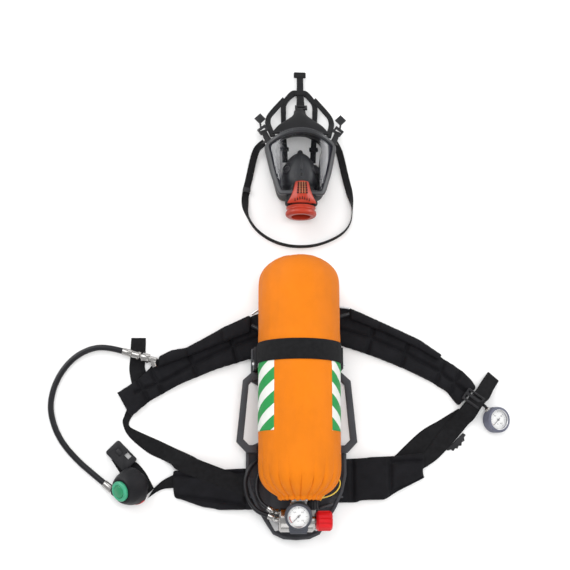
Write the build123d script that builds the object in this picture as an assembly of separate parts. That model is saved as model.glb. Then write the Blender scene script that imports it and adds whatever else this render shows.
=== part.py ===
from build123d import *
import math

# Self-contained breathing apparatus laid out flat, with its face mask beside it.
# Millimetres.  X runs across the pack, Y from the cylinder valve towards the mask, Z up.
# Places are given from the pack's centre line (x = 0) and the floor (z = 0).  The last
# step moves everything so that the origin is under the middle of the object, on the floor.

# ------------------------------------------------------------------ driving dimensions
WEBBING = 2.6                   # thickness of every woven strap
PAD_TOP = 15.0                  # thickness of the shoulder and waist pads
SLEEVE_TOP = 27.0               # top of the hose sleeves that lie on the shoulder pads
PLATE_TOP = 20.0                # backplate sheet, from PAD_TOP to here
RIM_TOP = 27.0                  # stiffening rim round the backplate

CYLINDER_R = 78.5               # compressed-air cylinder
CYLINDER_WALL = 5.0
CYLINDER_Z = 112.0              # height of the cylinder's axis
CYLINDER_HEAD_Y = 81.0
CYLINDER_SHOULDER_Y = -322.0
NECK_R = 17.0
NECK_Y = -388.0
COVER_GAP = 0.2
COVER_CLOTH = 1.3
COVER_R = CYLINDER_R + COVER_GAP + COVER_CLOTH
BAND_Y = -114.0                 # middle of the strap round the cylinder
BAND_WIDTH = 40.0

HANDWHEEL_R = 19.0
HANDWHEEL_AXIS = (-434.0, 100.0)    # y and z of the cylinder valve's spindle
SPINDLE_R = 4.0
REDUCER_R = 23.0
REDUCER_AXIS = (-433.0, 66.0)       # y and z of the pressure reducer's axis
CONNECTOR_R = 12.0
CONNECTOR_AXIS = (26.5, 95.0)       # x and z of the hand connector's axis
STUB_R = 6.0

GAUGE_R = 26.0                  # rubber-cased pressure gauges
GAUGE_DIAL_R = 20.3
GAUGE_NEEDLE_PIN_R = 1.0
RUNNING = 0.06                  # radial clearance of a running fit

HOSE_R = 6.0                    # demand valve hose
SUPPLY_HOSE_R = 4.5
GAUGE_HOSE_R = 4.0
DRAWSTRING_R = 1.25
NECK_STRAP_R = 4.0              # plain round stand-in for the folded neck strap

DEMAND_VALVE_AT = (-327.0, -369.0, 38.0)
DEMAND_VALVE_AXIS = (-0.65, -0.31, 0.69)
OUTLET_R = 19.9                 # plugs into the mask's port
SHOULDER_BAR = ((-72.0, -4.2, 18.5), (72.0, 2.2, 18.5))
SHOULDER_BAR_R = 2.5
COUPLING_FROM = (-353.0, -97.0, 18.0)
COUPLING_TO = (-284.0, -117.0, 23.0)

MASK_X = 8.0                    # centre line of the mask
VISOR_R = 95.0                  # the visor is part of an upright cylinder's wall
VISOR_AXIS_Z = -3.0
PORT_Z = 62.0
PORT_BORE_R = 20.0

CORD_NODES = ("demand_valve_hose", "hose_end_ferrules", "neck_strap", "drawstring")

nodes = {}


# ------------------------------------------------------------------ shared shapes
def add(name, *shapes):
    """Keep one or more separate solids as the node called name."""
    nodes[name] = [solid for shape in shapes for solid in shape.solids()]


def slab(outline, bottom, top, corner=0.0):
    """A flat piece: a closed outline of (x, y) points between two heights."""
    face = make_face(Polyline(*outline, close=True))
    if corner:
        face = fillet(face.vertices(), corner)
    return Pos(0, 0, bottom) * extrude(face, amount=top - bottom)


def block(x, y, z):
    """A box from three (low, high) pairs."""
    size = (x[1] - x[0], y[1] - y[0], z[1] - z[0])
    return Pos(x[0], y[0], z[0]) * Box(*size, align=(Align.MIN, Align.MIN, Align.MIN))


def rod(start, end, radius):
    """A round bar between two points."""
    run = Vector(*end) - Vector(*start)
    bar = Cylinder(radius, run.length, align=(Align.CENTER, Align.CENTER, Align.MIN))
    return Plane(origin=start, z_dir=run) * bar


def turned(profile, origin, axis):
    """A turned piece: (radius, distance along the axis) points, spun about the axis."""
    face = make_face(Polyline(*[(r, 0, s) for r, s in profile], close=True))
    return Plane(origin=origin, z_dir=axis) * revolve(face, Axis.Z)


def closed_skin(rings, wrap):
    """A solid from rings of equally many points.  wrap joins the last ring to the first."""
    solid = skin_solid(rings, wrap)
    return solid if solid.volume > 0 else skin_solid(rings[::-1], wrap)


def skin_solid(rings, wrap):
    """The solid inside the triangles between neighbouring rings, which may be inside out."""
    count = len(rings[0])
    faces = []
    for low, high in zip(rings, rings[1:] + ([rings[0]] if wrap else [])):
        for i in range(count):
            j = (i + 1) % count
            faces.append(Face(Wire.make_polygon([low[i], low[j], high[j]])))
            faces.append(Face(Wire.make_polygon([low[i], high[j], high[i]])))
    if not wrap:
        faces += [Face(Wire.make_polygon(ring)) for ring in (rings[0], rings[-1])]
    return Solid(Shell(faces))


def strap(stations, thickness=WEBBING):
    """Webbing through stations of (x, y, z) on one edge and (x, y, z) on the other."""
    rings = []
    for one, other in stations:
        raised = [(x, y, z + thickness) for x, y, z in (other, one)]
        rings.append([one, other] + raised)
    return closed_skin(rings, wrap=False)


def route(points, name):
    """A cord's path: straight runs joined by the largest arcs that the runs allow."""
    radii = []
    for before, corner, after in zip(points, points[1:], points[2:]):
        run_in = Vector(*corner) - Vector(*before)
        run_out = Vector(*after) - Vector(*corner)
        half_turn = math.radians(run_in.get_angle(run_out)) / 2
        radii.append(0.45 * min(run_in.length, run_out.length) / math.tan(half_turn))
    path = FilletPolyline(*points, radius=radii)
    print(name, "length", round(path.length, 1), "arc radii", [round(r, 1) for r in radii])
    return path


def hose(points, radius, name):
    """A round hose along its route."""
    path = route(points, name)
    tube = sweep(Plane(origin=path @ 0, z_dir=path % 0) * Circle(radius), path=path)
    wanted = math.pi * radius**2 * path.length
    print(name, "volume over section times length", round(tube.volume / wanted, 4))
    return tube


def mirrored(outline):
    """The same outline on the other side of the centre line."""
    return [(-x, y) for x, y in outline]


def at(origin, direction, distance):
    """The point at a distance from origin along a direction."""
    return tuple(Vector(*origin) + Vector(*direction).normalized() * distance)


# ------------------------------------------------------------------ backplate
def build_backplate():
    half = [(0, -16), (66, -16), (72, -30), (72, -86), (92, -92), (92, -158), (70, -170)]
    half += [(70, -278), (101, -292), (101, -345), (94, -378), (80, -408), (62, -438)]
    half += [(46, -461), (26, -470), (0, -472)]
    left = mirrored(half[1:-1])
    outline = half + left[::-1]
    sheet = slab(outline, PAD_TOP, PLATE_TOP)
    face = make_face(Polyline(*outline, close=True))
    rim = extrude(face - offset(face, amount=-6, kind=Kind.INTERSECTION), amount=RIM_TOP - PLATE_TOP)
    plate = sheet + Pos(0, 0, PLATE_TOP) * rim
    for saddle_y in (-60, -335):
        saddle = block((-48, 48), (saddle_y - 8, saddle_y + 8), (PLATE_TOP, 52))
        plate += saddle - rod((0, 100, CYLINDER_Z), (0, -400, CYLINDER_Z), COVER_R + 0.3)
    for rib_x in (-34, 34):
        plate += block((rib_x - 3, rib_x + 3), (-262, -80), (PLATE_TOP, 26))
    for side in (-1, 1):
        window = [(side * 56, -431), (side * 31, -433), (side * 31, -452), (side * 42, -455)]
        plate -= slab(window, 0, 40, corner=3)
        for feet_x, feet_y in (((74, 90), (-156, -146)), ((80, 99), (-302, -288))):
            plate += block(sorted((side * feet_x[0], side * feet_x[1])), feet_y, (PLATE_TOP, RIM_TOP))
        lug = block((side * 45 - 7, side * 45 + 7), (-17, 6), (PAD_TOP, 24))
        plate += lug - rod(*SHOULDER_BAR, SHOULDER_BAR_R)
    for step in range(4):
        rung_y = -352 - 12 * step
        for side in (-1, 1):
            plate += block(sorted((side * 70, side * 94)), (rung_y - 2, rung_y + 2), (PLATE_TOP, 25))
    return plate


def build_handle(side):
    """A carrying handle beside the cylinder, standing on two feet."""
    outer = [(74, -146), (90, -141), (109, -158), (121, -281), (101, -302), (80, -302)]
    inner = [(80, -288), (96, -287), (107, -276), (97, -167), (88, -156), (74, -156)]
    grip = slab([(side * x, y) for x, y in outer + inner], 38, 50)
    feet = block(sorted((side * 74, side * 90)), (-156, -146), (RIM_TOP, 38))
    feet += block(sorted((side * 80, side * 99)), (-302, -288), (RIM_TOP, 38))
    return grip + feet


def build_frame():
    add("backplate", build_backplate())
    add("side_handle_left", build_handle(-1))
    add("side_handle_right", build_handle(1))
    wire = rod(*SHOULDER_BAR, SHOULDER_BAR_R)
    for bend, end in zip(SHOULDER_BAR, ((-91, -18, 18.5), (111, -3, 18.5))):
        wire += rod(bend, end, SHOULDER_BAR_R) + Pos(*bend) * Sphere(SHOULDER_BAR_R)
    add("shoulder_bar", wire)


# ------------------------------------------------------------------ cylinder
def vessel(grow):
    """The cylinder's outer shape, grown by a thickness: closed round end, shoulder, neck."""
    radius = CYLINDER_R + grow
    head = CYLINDER_HEAD_Y + grow
    top = Spline(
        (0, head), (34, head - 5), (62, head - 23), (radius, 18), tangents=((1, 0), (0, -1))
    )
    side = Line((radius, 18), (radius, CYLINDER_SHOULDER_Y))
    shoulder = Spline(
        (radius, CYLINDER_SHOULDER_Y), (72 + grow, -352), (55 + grow, -373), (NECK_R + grow, NECK_Y),
        tangents=((0, -1), (-1, -0.28)),
    )
    end = Line((NECK_R + grow, NECK_Y), (0, NECK_Y))
    axis = Line((0, NECK_Y), (0, head))
    profile = make_face(Wire([*top.edges(), *side.edges(), *shoulder.edges(), *end.edges(),
                              *axis.edges()]))
    return Pos(0, 0, CYLINDER_Z) * revolve(profile, Axis.Y)


def build_cylinder():
    air = vessel(-CYLINDER_WALL)
    air = Pos(0, 0.5, 0) * air - rod((0, -420, CYLINDER_Z), (0, NECK_Y + 6, CYLINDER_Z), 60)
    add("cylinder", vessel(0) - air)
    cloth = vessel(COVER_GAP + COVER_CLOTH) - vessel(COVER_GAP)
    cloth -= rod((0, NECK_Y - 2, CYLINDER_Z), (0, NECK_Y + 2.5, CYLINDER_Z), NECK_R + 3)
    add("cylinder_cover", cloth)

    inside = COVER_R + 0.3
    outside = inside + WEBBING
    low_y = BAND_Y - BAND_WIDTH / 2
    high_y = BAND_Y + BAND_WIDTH / 2
    loop = rod((0, low_y, CYLINDER_Z), (0, high_y, CYLINDER_Z), outside)
    loop -= rod((0, low_y - 1, CYLINDER_Z), (0, high_y + 1, CYLINDER_Z), inside)
    loop &= block((-90, 90), (low_y, high_y), (CYLINDER_Z, 220))
    for side in (-1, 1):
        loop += block(sorted((side * inside, side * outside)), (low_y, high_y), (74, CYLINDER_Z))
    add("cylinder_band", loop)

    brackets = []
    pins = []
    for side in (-1, 1):
        edges = sorted((side * (outside + 0.3), side * (outside + 5.3)))
        bracket = block(edges, (-140, -98), (RIM_TOP, 100)) - rod((-95, -131, 92), (95, -131, 92), 3)
        bracket += block(sorted((side * 72.1, side * 85.9)), (-140, -98.1), (PLATE_TOP, RIM_TOP))
        brackets.append(bracket)
        pins.append(rod((side * (outside + 0.3), -131, 92), (side * (outside + 9), -131, 92), 3))
    add("band_brackets", *brackets)
    add("band_pins", *pins)


# ------------------------------------------------------------------ gauges
def build_gauge(name, centre, axis, depth, x_dir):
    """A dial gauge in a rubber case.  centre is the middle of the case's front edge."""
    face = Plane(origin=centre, z_dir=axis, x_dir=x_dir)
    case = Pos(0, 0, -depth / 2) * Cylinder(GAUGE_R, depth)
    case = fillet(case.edges().group_by(Axis.Z)[-1], 3)
    case -= Pos(0, 0, -3.5) * Cylinder(GAUGE_DIAL_R + 0.1, 7)
    case -= Pos(0, 0, -9) * Cylinder(GAUGE_NEEDLE_PIN_R + RUNNING, 5)
    dial = Pos(0, 0, -6.5) * Cylinder(GAUGE_DIAL_R, 1)
    dial -= Pos(0, 0, -6.5) * Cylinder(GAUGE_NEEDLE_PIN_R + RUNNING, 3)
    pointer = [(-0.9, -5), (0.9, -5), (0.35, 15.5), (-0.35, 15.5)]
    needle = slab(pointer, -4.6, -3.8) + Pos(0, 0, -4.5) * Cylinder(2.2, 1.8)
    needle += Pos(0, 0, -7.6) * Cylinder(GAUGE_NEEDLE_PIN_R, 5.6)
    lens = Pos(0, 0, -1.9) * Cylinder(GAUGE_DIAL_R, 1.4)
    add(name + "_case", face * case)
    add(name + "_dial", face * dial)
    add(name + "_needle", face * (Rot(0, 0, 135) * needle))
    add(name + "_lens", face * lens)


# ------------------------------------------------------------------ cylinder valve and reducer
def build_valve():
    wheel_y, wheel_z = HANDWHEEL_AXIS
    gauge_at = (-4.0, -427.0, 135.0)
    gauge_axis = (-0.06, -0.20, 0.98)
    gauge_depth = 18.0
    build_gauge("cylinder_gauge", gauge_at, gauge_axis, gauge_depth, (1, 0, 0.06))

    valve = block((-18, 14), (-446, -397.5), (90, 110))
    valve += rod((0, NECK_Y, CYLINDER_Z), (0, -397.5, CYLINDER_Z), NECK_R)
    valve += rod((14, wheel_y, wheel_z), (31, wheel_y, wheel_z), 9)
    foot = at(gauge_at, gauge_axis, -gauge_depth)
    valve += rod(foot, at(gauge_at, gauge_axis, -gauge_depth - 14), 8)
    valve -= rod((19, wheel_y, wheel_z), (32, wheel_y, wheel_z), SPINDLE_R + RUNNING)
    add("cylinder_valve", valve)
    add("valve_spindle", rod((20, wheel_y, wheel_z), (50, wheel_y, wheel_z), SPINDLE_R))

    wheel = turned(
        [(SPINDLE_R, 0), (15, 0), (HANDWHEEL_R, 4), (HANDWHEEL_R, 27), (16, 31), (0, 31), (0, 18),
         (SPINDLE_R, 18)],
        (32, wheel_y, wheel_z), (1, 0, 0),
    )
    for step in range(8):
        angle = math.radians(45 * step + 22.5)
        groove_y = wheel_y + (HANDWHEEL_R + 2.5) * math.cos(angle)
        groove_z = wheel_z + (HANDWHEEL_R + 2.5) * math.sin(angle)
        wheel -= rod((36, groove_y, groove_z), (60, groove_y, groove_z), 5)
    add("valve_handwheel", wheel)

    drum_y, drum_z = REDUCER_AXIS
    stub_x, stub_z = CONNECTOR_AXIS
    reducer = turned(
        [(0, 0), (19, 0), (REDUCER_R, 4), (REDUCER_R, 66), (19, 70), (0, 70)],
        (-38, drum_y, drum_z), (1, 0, 0),
    )
    reducer += block((20, 31.5), (-424.5, -413), (72, 101))
    reducer += rod((stub_x, -413.5, stub_z), (stub_x, -393, stub_z), STUB_R)
    add("pressure_reducer", reducer)
    ring = turned(
        [(STUB_R + RUNNING, 0), (CONNECTOR_R, 0), (CONNECTOR_R, 18), (STUB_R + RUNNING, 18)],
        (stub_x, -412.7, stub_z), (0, 1, 0),
    )
    for step in range(12):
        angle = math.radians(30 * step)
        rib_x = stub_x + CONNECTOR_R * math.cos(angle)
        rib_z = stub_z + CONNECTOR_R * math.sin(angle)
        ring -= rod((rib_x, -412, rib_z), (rib_x, -395.5, rib_z), 1.4)
    add("reducer_connector", ring)

    bracket = block((-22, 16), (-450, -416), (PLATE_TOP, 60))
    bracket -= rod((-60, drum_y, drum_z), (60, drum_y, drum_z), REDUCER_R)
    guard = slab([(40, -413), (67, -404), (66, -400), (40, -409)], PLATE_TOP, 92)
    add("reducer_bracket", bracket, guard)


def build_plate_hoses():
    """Hoses that run from the reducer, under the cylinder, to the two hose sleeves."""
    supply = [(-57, -425, 70), (-80, -416, 60), (-98, -392, 46), (-104, -360, 39), (-94, -331, 34)]
    supply += [(-75, -312, 29), (-58, -284, 25.5), (-55, -98, 25.5), (-62, -64, 33), (-78, -50, 31)]
    supply += [(-90, -43, 22)]
    gauge = [(-57, -411, 70), (-71, -401, 57), (-80, -381, 42), (-79, -354, 31), (-70, -331, 26)]
    gauge += [(-53, -309, 25), (-20, -293, 25), (26, -285, 25), (51, -264, 25), (57, -228, 25)]
    gauge += [(55, -92, 25), (64, -46, 33), (86, -24, 30), (110.4, -16, 22)]
    add("supply_hose", hose(supply, SUPPLY_HOSE_R, "supply_hose"))
    add("gauge_hose", hose(gauge, GAUGE_HOSE_R, "gauge_hose"))
    fittings = []
    for fitting_y, hose_end in ((-431, supply[:2]), (-417, gauge[:2])):
        start = Vector(*hose_end[0])
        back = start + (start - Vector(*hose_end[1])).normalized() * 10
        sleeve = rod(tuple(start), tuple(back), 6.2)
        nut = rod((-45.6, fitting_y, 70), (-38, fitting_y, 70), 6)
        elbow = rod(tuple(back), (-45.6, fitting_y, 70), 5)
        fittings.append(sleeve + Pos(*back) * Sphere(5) + elbow + nut)
    add("hose_fittings", *fittings)


# ------------------------------------------------------------------ harness
def build_harness():
    left_pad = [(-60, -5), (-92, -17), (-152, -44), (-225, -85), (-258, -93), (-284, -108), (-321, -149)]
    left_pad += [(-366, -180), (-337, -230), (-295, -200), (-234, -165), (-161, -134),
                 (-92, -112), (-60, -104)]
    right_pad = [(60, 5), (87, 3), (114, 1), (176, -26), (259, -65), (307, -100), (352, -129),
                 (380, -162)]
    right_pad += [(341, -204), (319, -181), (278, -155), (216, -126), (154, -102), (92, -82), (60, -75)]
    add("shoulder_pad_left", slab(left_pad, 0, PAD_TOP))
    add("shoulder_pad_right", slab(right_pad, 0, PAD_TOP))

    left_sleeve = [(-93, -19), (-152, -46), (-225, -87), (-255, -94), (-281, -109)]
    left_sleeve += [(-281, -131), (-196, -99), (-93, -57)]
    right_sleeve = [(112, -2), (174, -29), (257, -67), (303, -99), (296, -111), (246, -82),
                    (174, -50), (112, -26)]
    add("hose_sleeves", slab(left_sleeve, PAD_TOP, SLEEVE_TOP), slab(right_sleeve, PAD_TOP, SLEEVE_TOP))

    left_waist = [(-250, -335), (-153, -331), (-40, -324), (-40, -415), (-151, -417), (-191, -410)]
    left_waist += [(-245, -390), (-249, -374)]
    right_waist = [(40, -312), (110, -308), (198, -302), (264, -298), (268, -316), (263, -334),
                   (265, -352)]
    right_waist += [(211, -378), (182, -396), (129, -398), (123, -402), (40, -402)]
    add("waist_pad_left", slab(left_waist, 0, PAD_TOP))
    add("waist_pad_right", slab(right_waist, 0, PAD_TOP))

    over_pad = PAD_TOP + 0.3
    add("pull_strap_left", strap([
        ((-340, -231, 1), (-352, -224, 1)),
        ((-337, -246, 0.5), (-350, -242, 0.5)),
        ((-322, -256, 0.2), (-337, -268, 0.2)),
        ((-274, -277, 0.2), (-300, -299, 0.2)),
        ((-238, -294, 3), (-270, -314, 2)),
        ((-206, -309, 13), (-250, -325, over_pad + 1)),
        ((-186, -318, over_pad), (-226, -341, over_pad)),
        ((-102, -349, over_pad), (-102, -388, over_pad)),
    ]))
    add("pull_strap_right", strap([
        ((338, -208, 0.2), (372, -222, 0.2)),
        ((298, -232, 0.2), (322, -257, 0.2)),
        ((256, -257, 0.2), (288, -278, 0.2)),
        ((212, -290, 0.2), (262, -297, 0.2)),
    ]))
    add("chest_strap_left", slab(
        [(-338, -67), (-308, -67), (-308, -134), (-321, -148.5), (-340, -161.5)], 0, WEBBING,
    ))
    add("belt_webbing_left", slab(
        [(-372, -312), (-349, -311), (-338.5, -321.5), (-319, -318), (-284, -370), (-295, -398),
         (-311, -398), (-352, -343)],
        0, WEBBING,
    ), strap([
        ((-284, -371, WEBBING), (-296, -391, WEBBING)),
        ((-266, -355, WEBBING), (-270, -374, WEBBING)),
        ((-249.8, -343, WEBBING), (-249.8, -370, WEBBING)),
    ]))
    add("belt_webbing_right", strap([
        ((402, -132, 6), (424, -151, 6)),
        ((384, -155, 13), (411, -169, 12)),
        ((372, -172, over_pad + 1), (399, -189, 19)),
        ((353, -192, over_pad + 1.5), (384, -203, 27)),
        ((336, -212, 13), (369, -228, 13)),
        ((324, -226, 5), (356, -242, 5)),
        ((296, -258, 3), (326, -276, 3)),
        ((270, -292, 3), (290, -312, 3)),
        ((268.2, -300, 3), (268.2, -330, 3)),
    ]))

    lock = Pos(0, 0, 2.5) * Box(40, 26, 5)
    lock -= Pos(0, 7, 2.5) * Box(32, 5, 9)
    lock -= Pos(0, -5, 2.5) * Box(32, 7, 9)
    add("strap_adjuster", Pos(366, -189, over_pad + WEBBING + 2.2) * Rot(0, -7, -36) * lock)


def build_buckle():
    """Waist buckle: a hollow housing with a sprung button, and the tongue that clicks into it."""
    place = Pos(-350, -307.5, WEBBING + 0.2) * Rot(0, 0, -45)
    housing = Pos(0, 0, 6) * Box(55, 36, 12)
    housing = fillet(housing.edges().filter_by(Axis.Z), 5)
    housing -= Pos(-4, 12, 5.5) * Box(14, 14, 6)
    housing -= Pos(-8, 2, 10) * Box(14.6, 10.6, 6)
    housing -= Pos(9, 9.5, 6) * Box(12, 9, 14)
    add("waist_buckle", place * housing)
    button = Pos(-8, 2, 10.9) * Box(14, 10, 3.8)
    add("buckle_release", place * button)

    teeth = [(306, -291), (314, -294), (320, -292), (325, -295), (329, -289), (334, -290), (336, -284)]
    teeth += [(342, -284), (343, -277), (349, -274), (348, -267), (352, -262), (346, -258), (322, -281)]
    add("buckle_tongue", slab(teeth, 0.2, 2.9))


# ------------------------------------------------------------------ demand valve and its hose
HOSE_ROUTE = [
    (-353, -97, 18), (-390.4, -86.2, 15.3), (-431, -95, 9), (-464, -120, 6.3), (-488, -160, 6.2),
    (-497, -206, 6.2), (-488, -246, 6.2), (-469, -282, 6.2), (-438, -316, 7), (-404, -344, 12),
    (-381, -362, 18),
]


def build_coupling():
    """Quick coupling at the shoulder: socket, sliding sleeve and the hose's plug."""
    along = Vector(*COUPLING_TO) - Vector(*COUPLING_FROM)
    direction = tuple(along.normalized())
    length = along.length

    def point(distance):
        return at(COUPLING_FROM, direction, distance)

    plug = rod(point(20), point(32), 7) + rod(point(32), point(37), 8.5) + rod(point(37), point(46), 4.5)
    socket = rod(point(46), point(length), 6.5) + rod(point(40), point(46), 6.5)
    socket -= rod(point(39), point(46), 4.5)
    side_port = Vector(*point(62))
    socket += rod(tuple(side_port), tuple(side_port + Vector(7, -15, 0)), 5)
    sleeve = rod(point(42), point(56), 9.5) - rod(point(41), point(57), 6.5 + RUNNING)
    add("coupling_plug", plug)
    add("coupling_socket", socket)
    add("coupling_sleeve", sleeve)

    add("demand_valve_hose", hose(HOSE_ROUTE, HOSE_R, "demand_valve_hose"))
    far = HOSE_ROUTE[-1]
    far_direction = Vector(*far) - Vector(*HOSE_ROUTE[-2])
    far_end = at(far, far_direction, 20)
    add("hose_end_ferrules", rod(point(0), point(20), 7.5), rod(far, far_end, 7.5))
    return far_end, far_direction


def build_demand_valve(inlet_at, inlet_direction):
    centre = DEMAND_VALVE_AT
    axis = DEMAND_VALVE_AXIS
    body = turned(
        [(0, 20), (13, 20), (13, 27), (20, 27), (23, 27), (28, 21), (33, 11), (35.5, 0), (36.5, -4),
         (36.5, -9), (33, -11), (22, -16), (OUTLET_R, -16), (OUTLET_R, -29), (16, -29), (16, -8),
         (0, -8)],
        centre, axis,
    )
    joint_centre = at(inlet_at, inlet_direction, 8.3)
    elbow = Pos(*joint_centre) * Sphere(8)
    elbow += rod(joint_centre, (-338, -378, 33), 7)
    hollow = turned([(0, -29), (16, -29), (16, -8), (0, -8)], centre, axis)
    pocket = turned([(0, 20), (13, 20), (13, 40), (0, 40)], centre, axis)
    add("demand_valve_body", body + (elbow - hollow - pocket))
    ring = turned([(13, 27), (20, 27), (20, 32), (18, 34), (13, 34)], centre, axis)
    add("demand_valve_ring", ring)
    button = turned([(0, 24.5), (12.7, 24.5), (12.7, 33), (11.5, 35), (0, 36)], centre, axis)
    add("demand_valve_button", button)
    print("demand valve swivel at", [round(v, 2) for v in joint_centre], "axis",
          inlet_direction.normalized())


def build_chest_gauge():
    """The gauge at the chest leans on its case's edge.  Its hose runs under the belt webbing."""
    face = (416.0, -233.0, 32.0)
    axis = (0.34, -0.05, 0.94)
    stem_way = Vector(-0.62, 0.78, 0.2657)
    build_gauge("chest_gauge", face, axis, 24.0, (0.94, 0, -0.34))
    core = at(face, axis, -17.0)
    stem = rod(at(core, stem_way, GAUGE_R - 3), at(core, stem_way, GAUGE_R + 4), 5)
    recess = Plane(origin=face, z_dir=axis) * Pos(0, 0, -6) * Cylinder(GAUGE_DIAL_R + 1, 12)
    case = nodes["chest_gauge_case"][0] + (stem - recess)
    add("chest_gauge_case", case)
    chest = [at(core, stem_way, GAUGE_R + 4.5), at(core, stem_way, GAUGE_R + 10)]
    chest += [(383, -199, 16), (376, -193, 6), (367, -186, 4)]
    nodes["gauge_hose"] += hose(chest, GAUGE_HOSE_R - 1, "gauge_hose at the chest").solids()
    print("chest gauge swivel at", [round(v, 2) for v in core], "axis", stem_way.normalized())


# ------------------------------------------------------------------ mask
def mask_outline(inset):
    """The visor frame's outline seen from the front, moved in by inset."""
    top = ThreePointArc((-66, 344.5), (0, 364), (66, 344.5))
    rest = Polyline((66, 344.5), (75.5, 336), (65, 279), (51, 232), (43, 221), (-43, 221), (-51, 232),
                    (-65, 279), (-75.5, 336), (-66, 344.5))
    face = make_face(Wire([*top.edges(), *rest.edges()]))
    if inset:
        face = offset(face, amount=-inset, kind=Kind.INTERSECTION)
    return Pos(MASK_X, 0, 0) * face


def visor_wall(outer, inner, outline):
    """Part of an upright cylinder's wall, cut to an outline."""
    wall = rod((MASK_X, 200, VISOR_AXIS_Z), (MASK_X, 380, VISOR_AXIS_Z), outer)
    wall -= rod((MASK_X, 199, VISOR_AXIS_Z), (MASK_X, 381, VISOR_AXIS_Z), inner)
    return wall & extrude(outline, amount=140)


def mask_ring(scale, height):
    """Points round the face piece.  height is a number, or None to follow the visor."""
    half = [(0, 360), (28, 356.5), (54, 347), (71, 333), (67, 306), (62, 279), (55, 252), (48, 231)]
    half += [(38, 223), (18, 222), (0, 222)]
    points = [(x, y) for x, y in half] + [(-x, y) for x, y in half[-2:0:-1]]
    middle_y = 290
    ring = []
    for x, y in points:
        x, y = x * scale, middle_y + (y - middle_y) * scale
        z = VISOR_AXIS_Z + math.sqrt((VISOR_R - 6.5) ** 2 - x * x) if height is None else height
        ring.append((MASK_X + x, y, z))
    return ring


def cup_ring(half_width, low_y, high_y, height, count=16):
    """An egg-shaped ring of the nose cup, narrower at the nose than at the chin."""
    ring = []
    for step in range(count):
        angle = 2 * math.pi * step / count
        narrow = 1 - 0.22 * math.sin(angle)
        x = half_width * math.cos(angle) * narrow
        y = (low_y + high_y) / 2 + (high_y - low_y) / 2 * math.sin(angle)
        ring.append((MASK_X + x, y, height))
    return ring


def build_mask():
    frame = visor_wall(VISOR_R + 2.5, VISOR_R - 6, mask_outline(0))
    frame -= extrude(mask_outline(8), amount=140)
    add("mask_visor_frame", frame)
    add("mask_visor", visor_wall(VISOR_R, VISOR_R - 2.5, mask_outline(8)))

    seal = closed_skin([
        mask_ring(1.0, None), mask_ring(0.98, 34), mask_ring(0.9, 6), mask_ring(0.70, 6),
        mask_ring(0.70, 10), mask_ring(0.85, 11), mask_ring(0.92, 34), mask_ring(0.94, None),
    ], wrap=True)
    port_hole = rod((MASK_X, 180, PORT_Z), (MASK_X, 240, PORT_Z), PORT_BORE_R + 1)
    add("mask_face_piece", seal - port_hole)
    forehead = [(-45, 362), (-31, 388), (-14, 400), (-6, 417), (24, 417), (30, 400), (47, 388),
                (61, 362)]
    add("mask_forehead_tab", strap([
        ((-45, 361, 50), (61, 361, 50)),
        ((-31, 388, 46), (47, 388, 46)),
        ((-13, 400, 40), (29, 400, 40)),
        ((-4, 418, 30), (21, 418, 30)),
    ], thickness=5) - block((-60, 80), (350, 360.4), (0, 90)))

    cup = closed_skin([
        cup_ring(38, 232, 330, 14), cup_ring(36, 232, 326, 44), cup_ring(27, 234, 312, 70),
        cup_ring(17, 240, 292, 82), cup_ring(14.5, 243, 289, 80), cup_ring(24, 237, 309, 68),
        cup_ring(33, 235, 323, 43), cup_ring(35, 235, 327, 14),
    ], wrap=True)
    add("mask_nose_cup", cup - port_hole)

    body = rod((MASK_X, 200, PORT_Z), (MASK_X, 220.5, PORT_Z), 30)
    body -= rod((MASK_X, 190, PORT_Z), (MASK_X, 230, PORT_Z), PORT_BORE_R - 1.5)
    add("mask_port_body", body)
    ring = turned(
        [(PORT_BORE_R, 0), (29, 0), (32, 3), (32, 11), (29, 13), (29, 16), (31, 20), (PORT_BORE_R, 20)],
        (MASK_X, 180, PORT_Z), (0, 1, 0),
    )
    add("mask_port_ring", ring)
    cover_rings = []
    for y, low_half, low, high_half, high in (
        (247, 13.5, 95, 11, 98.5), (232, 17, 95, 13, 104), (214, 24, 94.8, 17, 103),
        (202, 30, 92.4, 23, 98),
    ):
        cover_rings.append([
            (MASK_X - low_half, y, low), (MASK_X + low_half, y, low),
            (MASK_X + high_half, y, high), (MASK_X - high_half, y, high),
        ])
    add("mask_port_cover", closed_skin(cover_rings, wrap=False))


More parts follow.
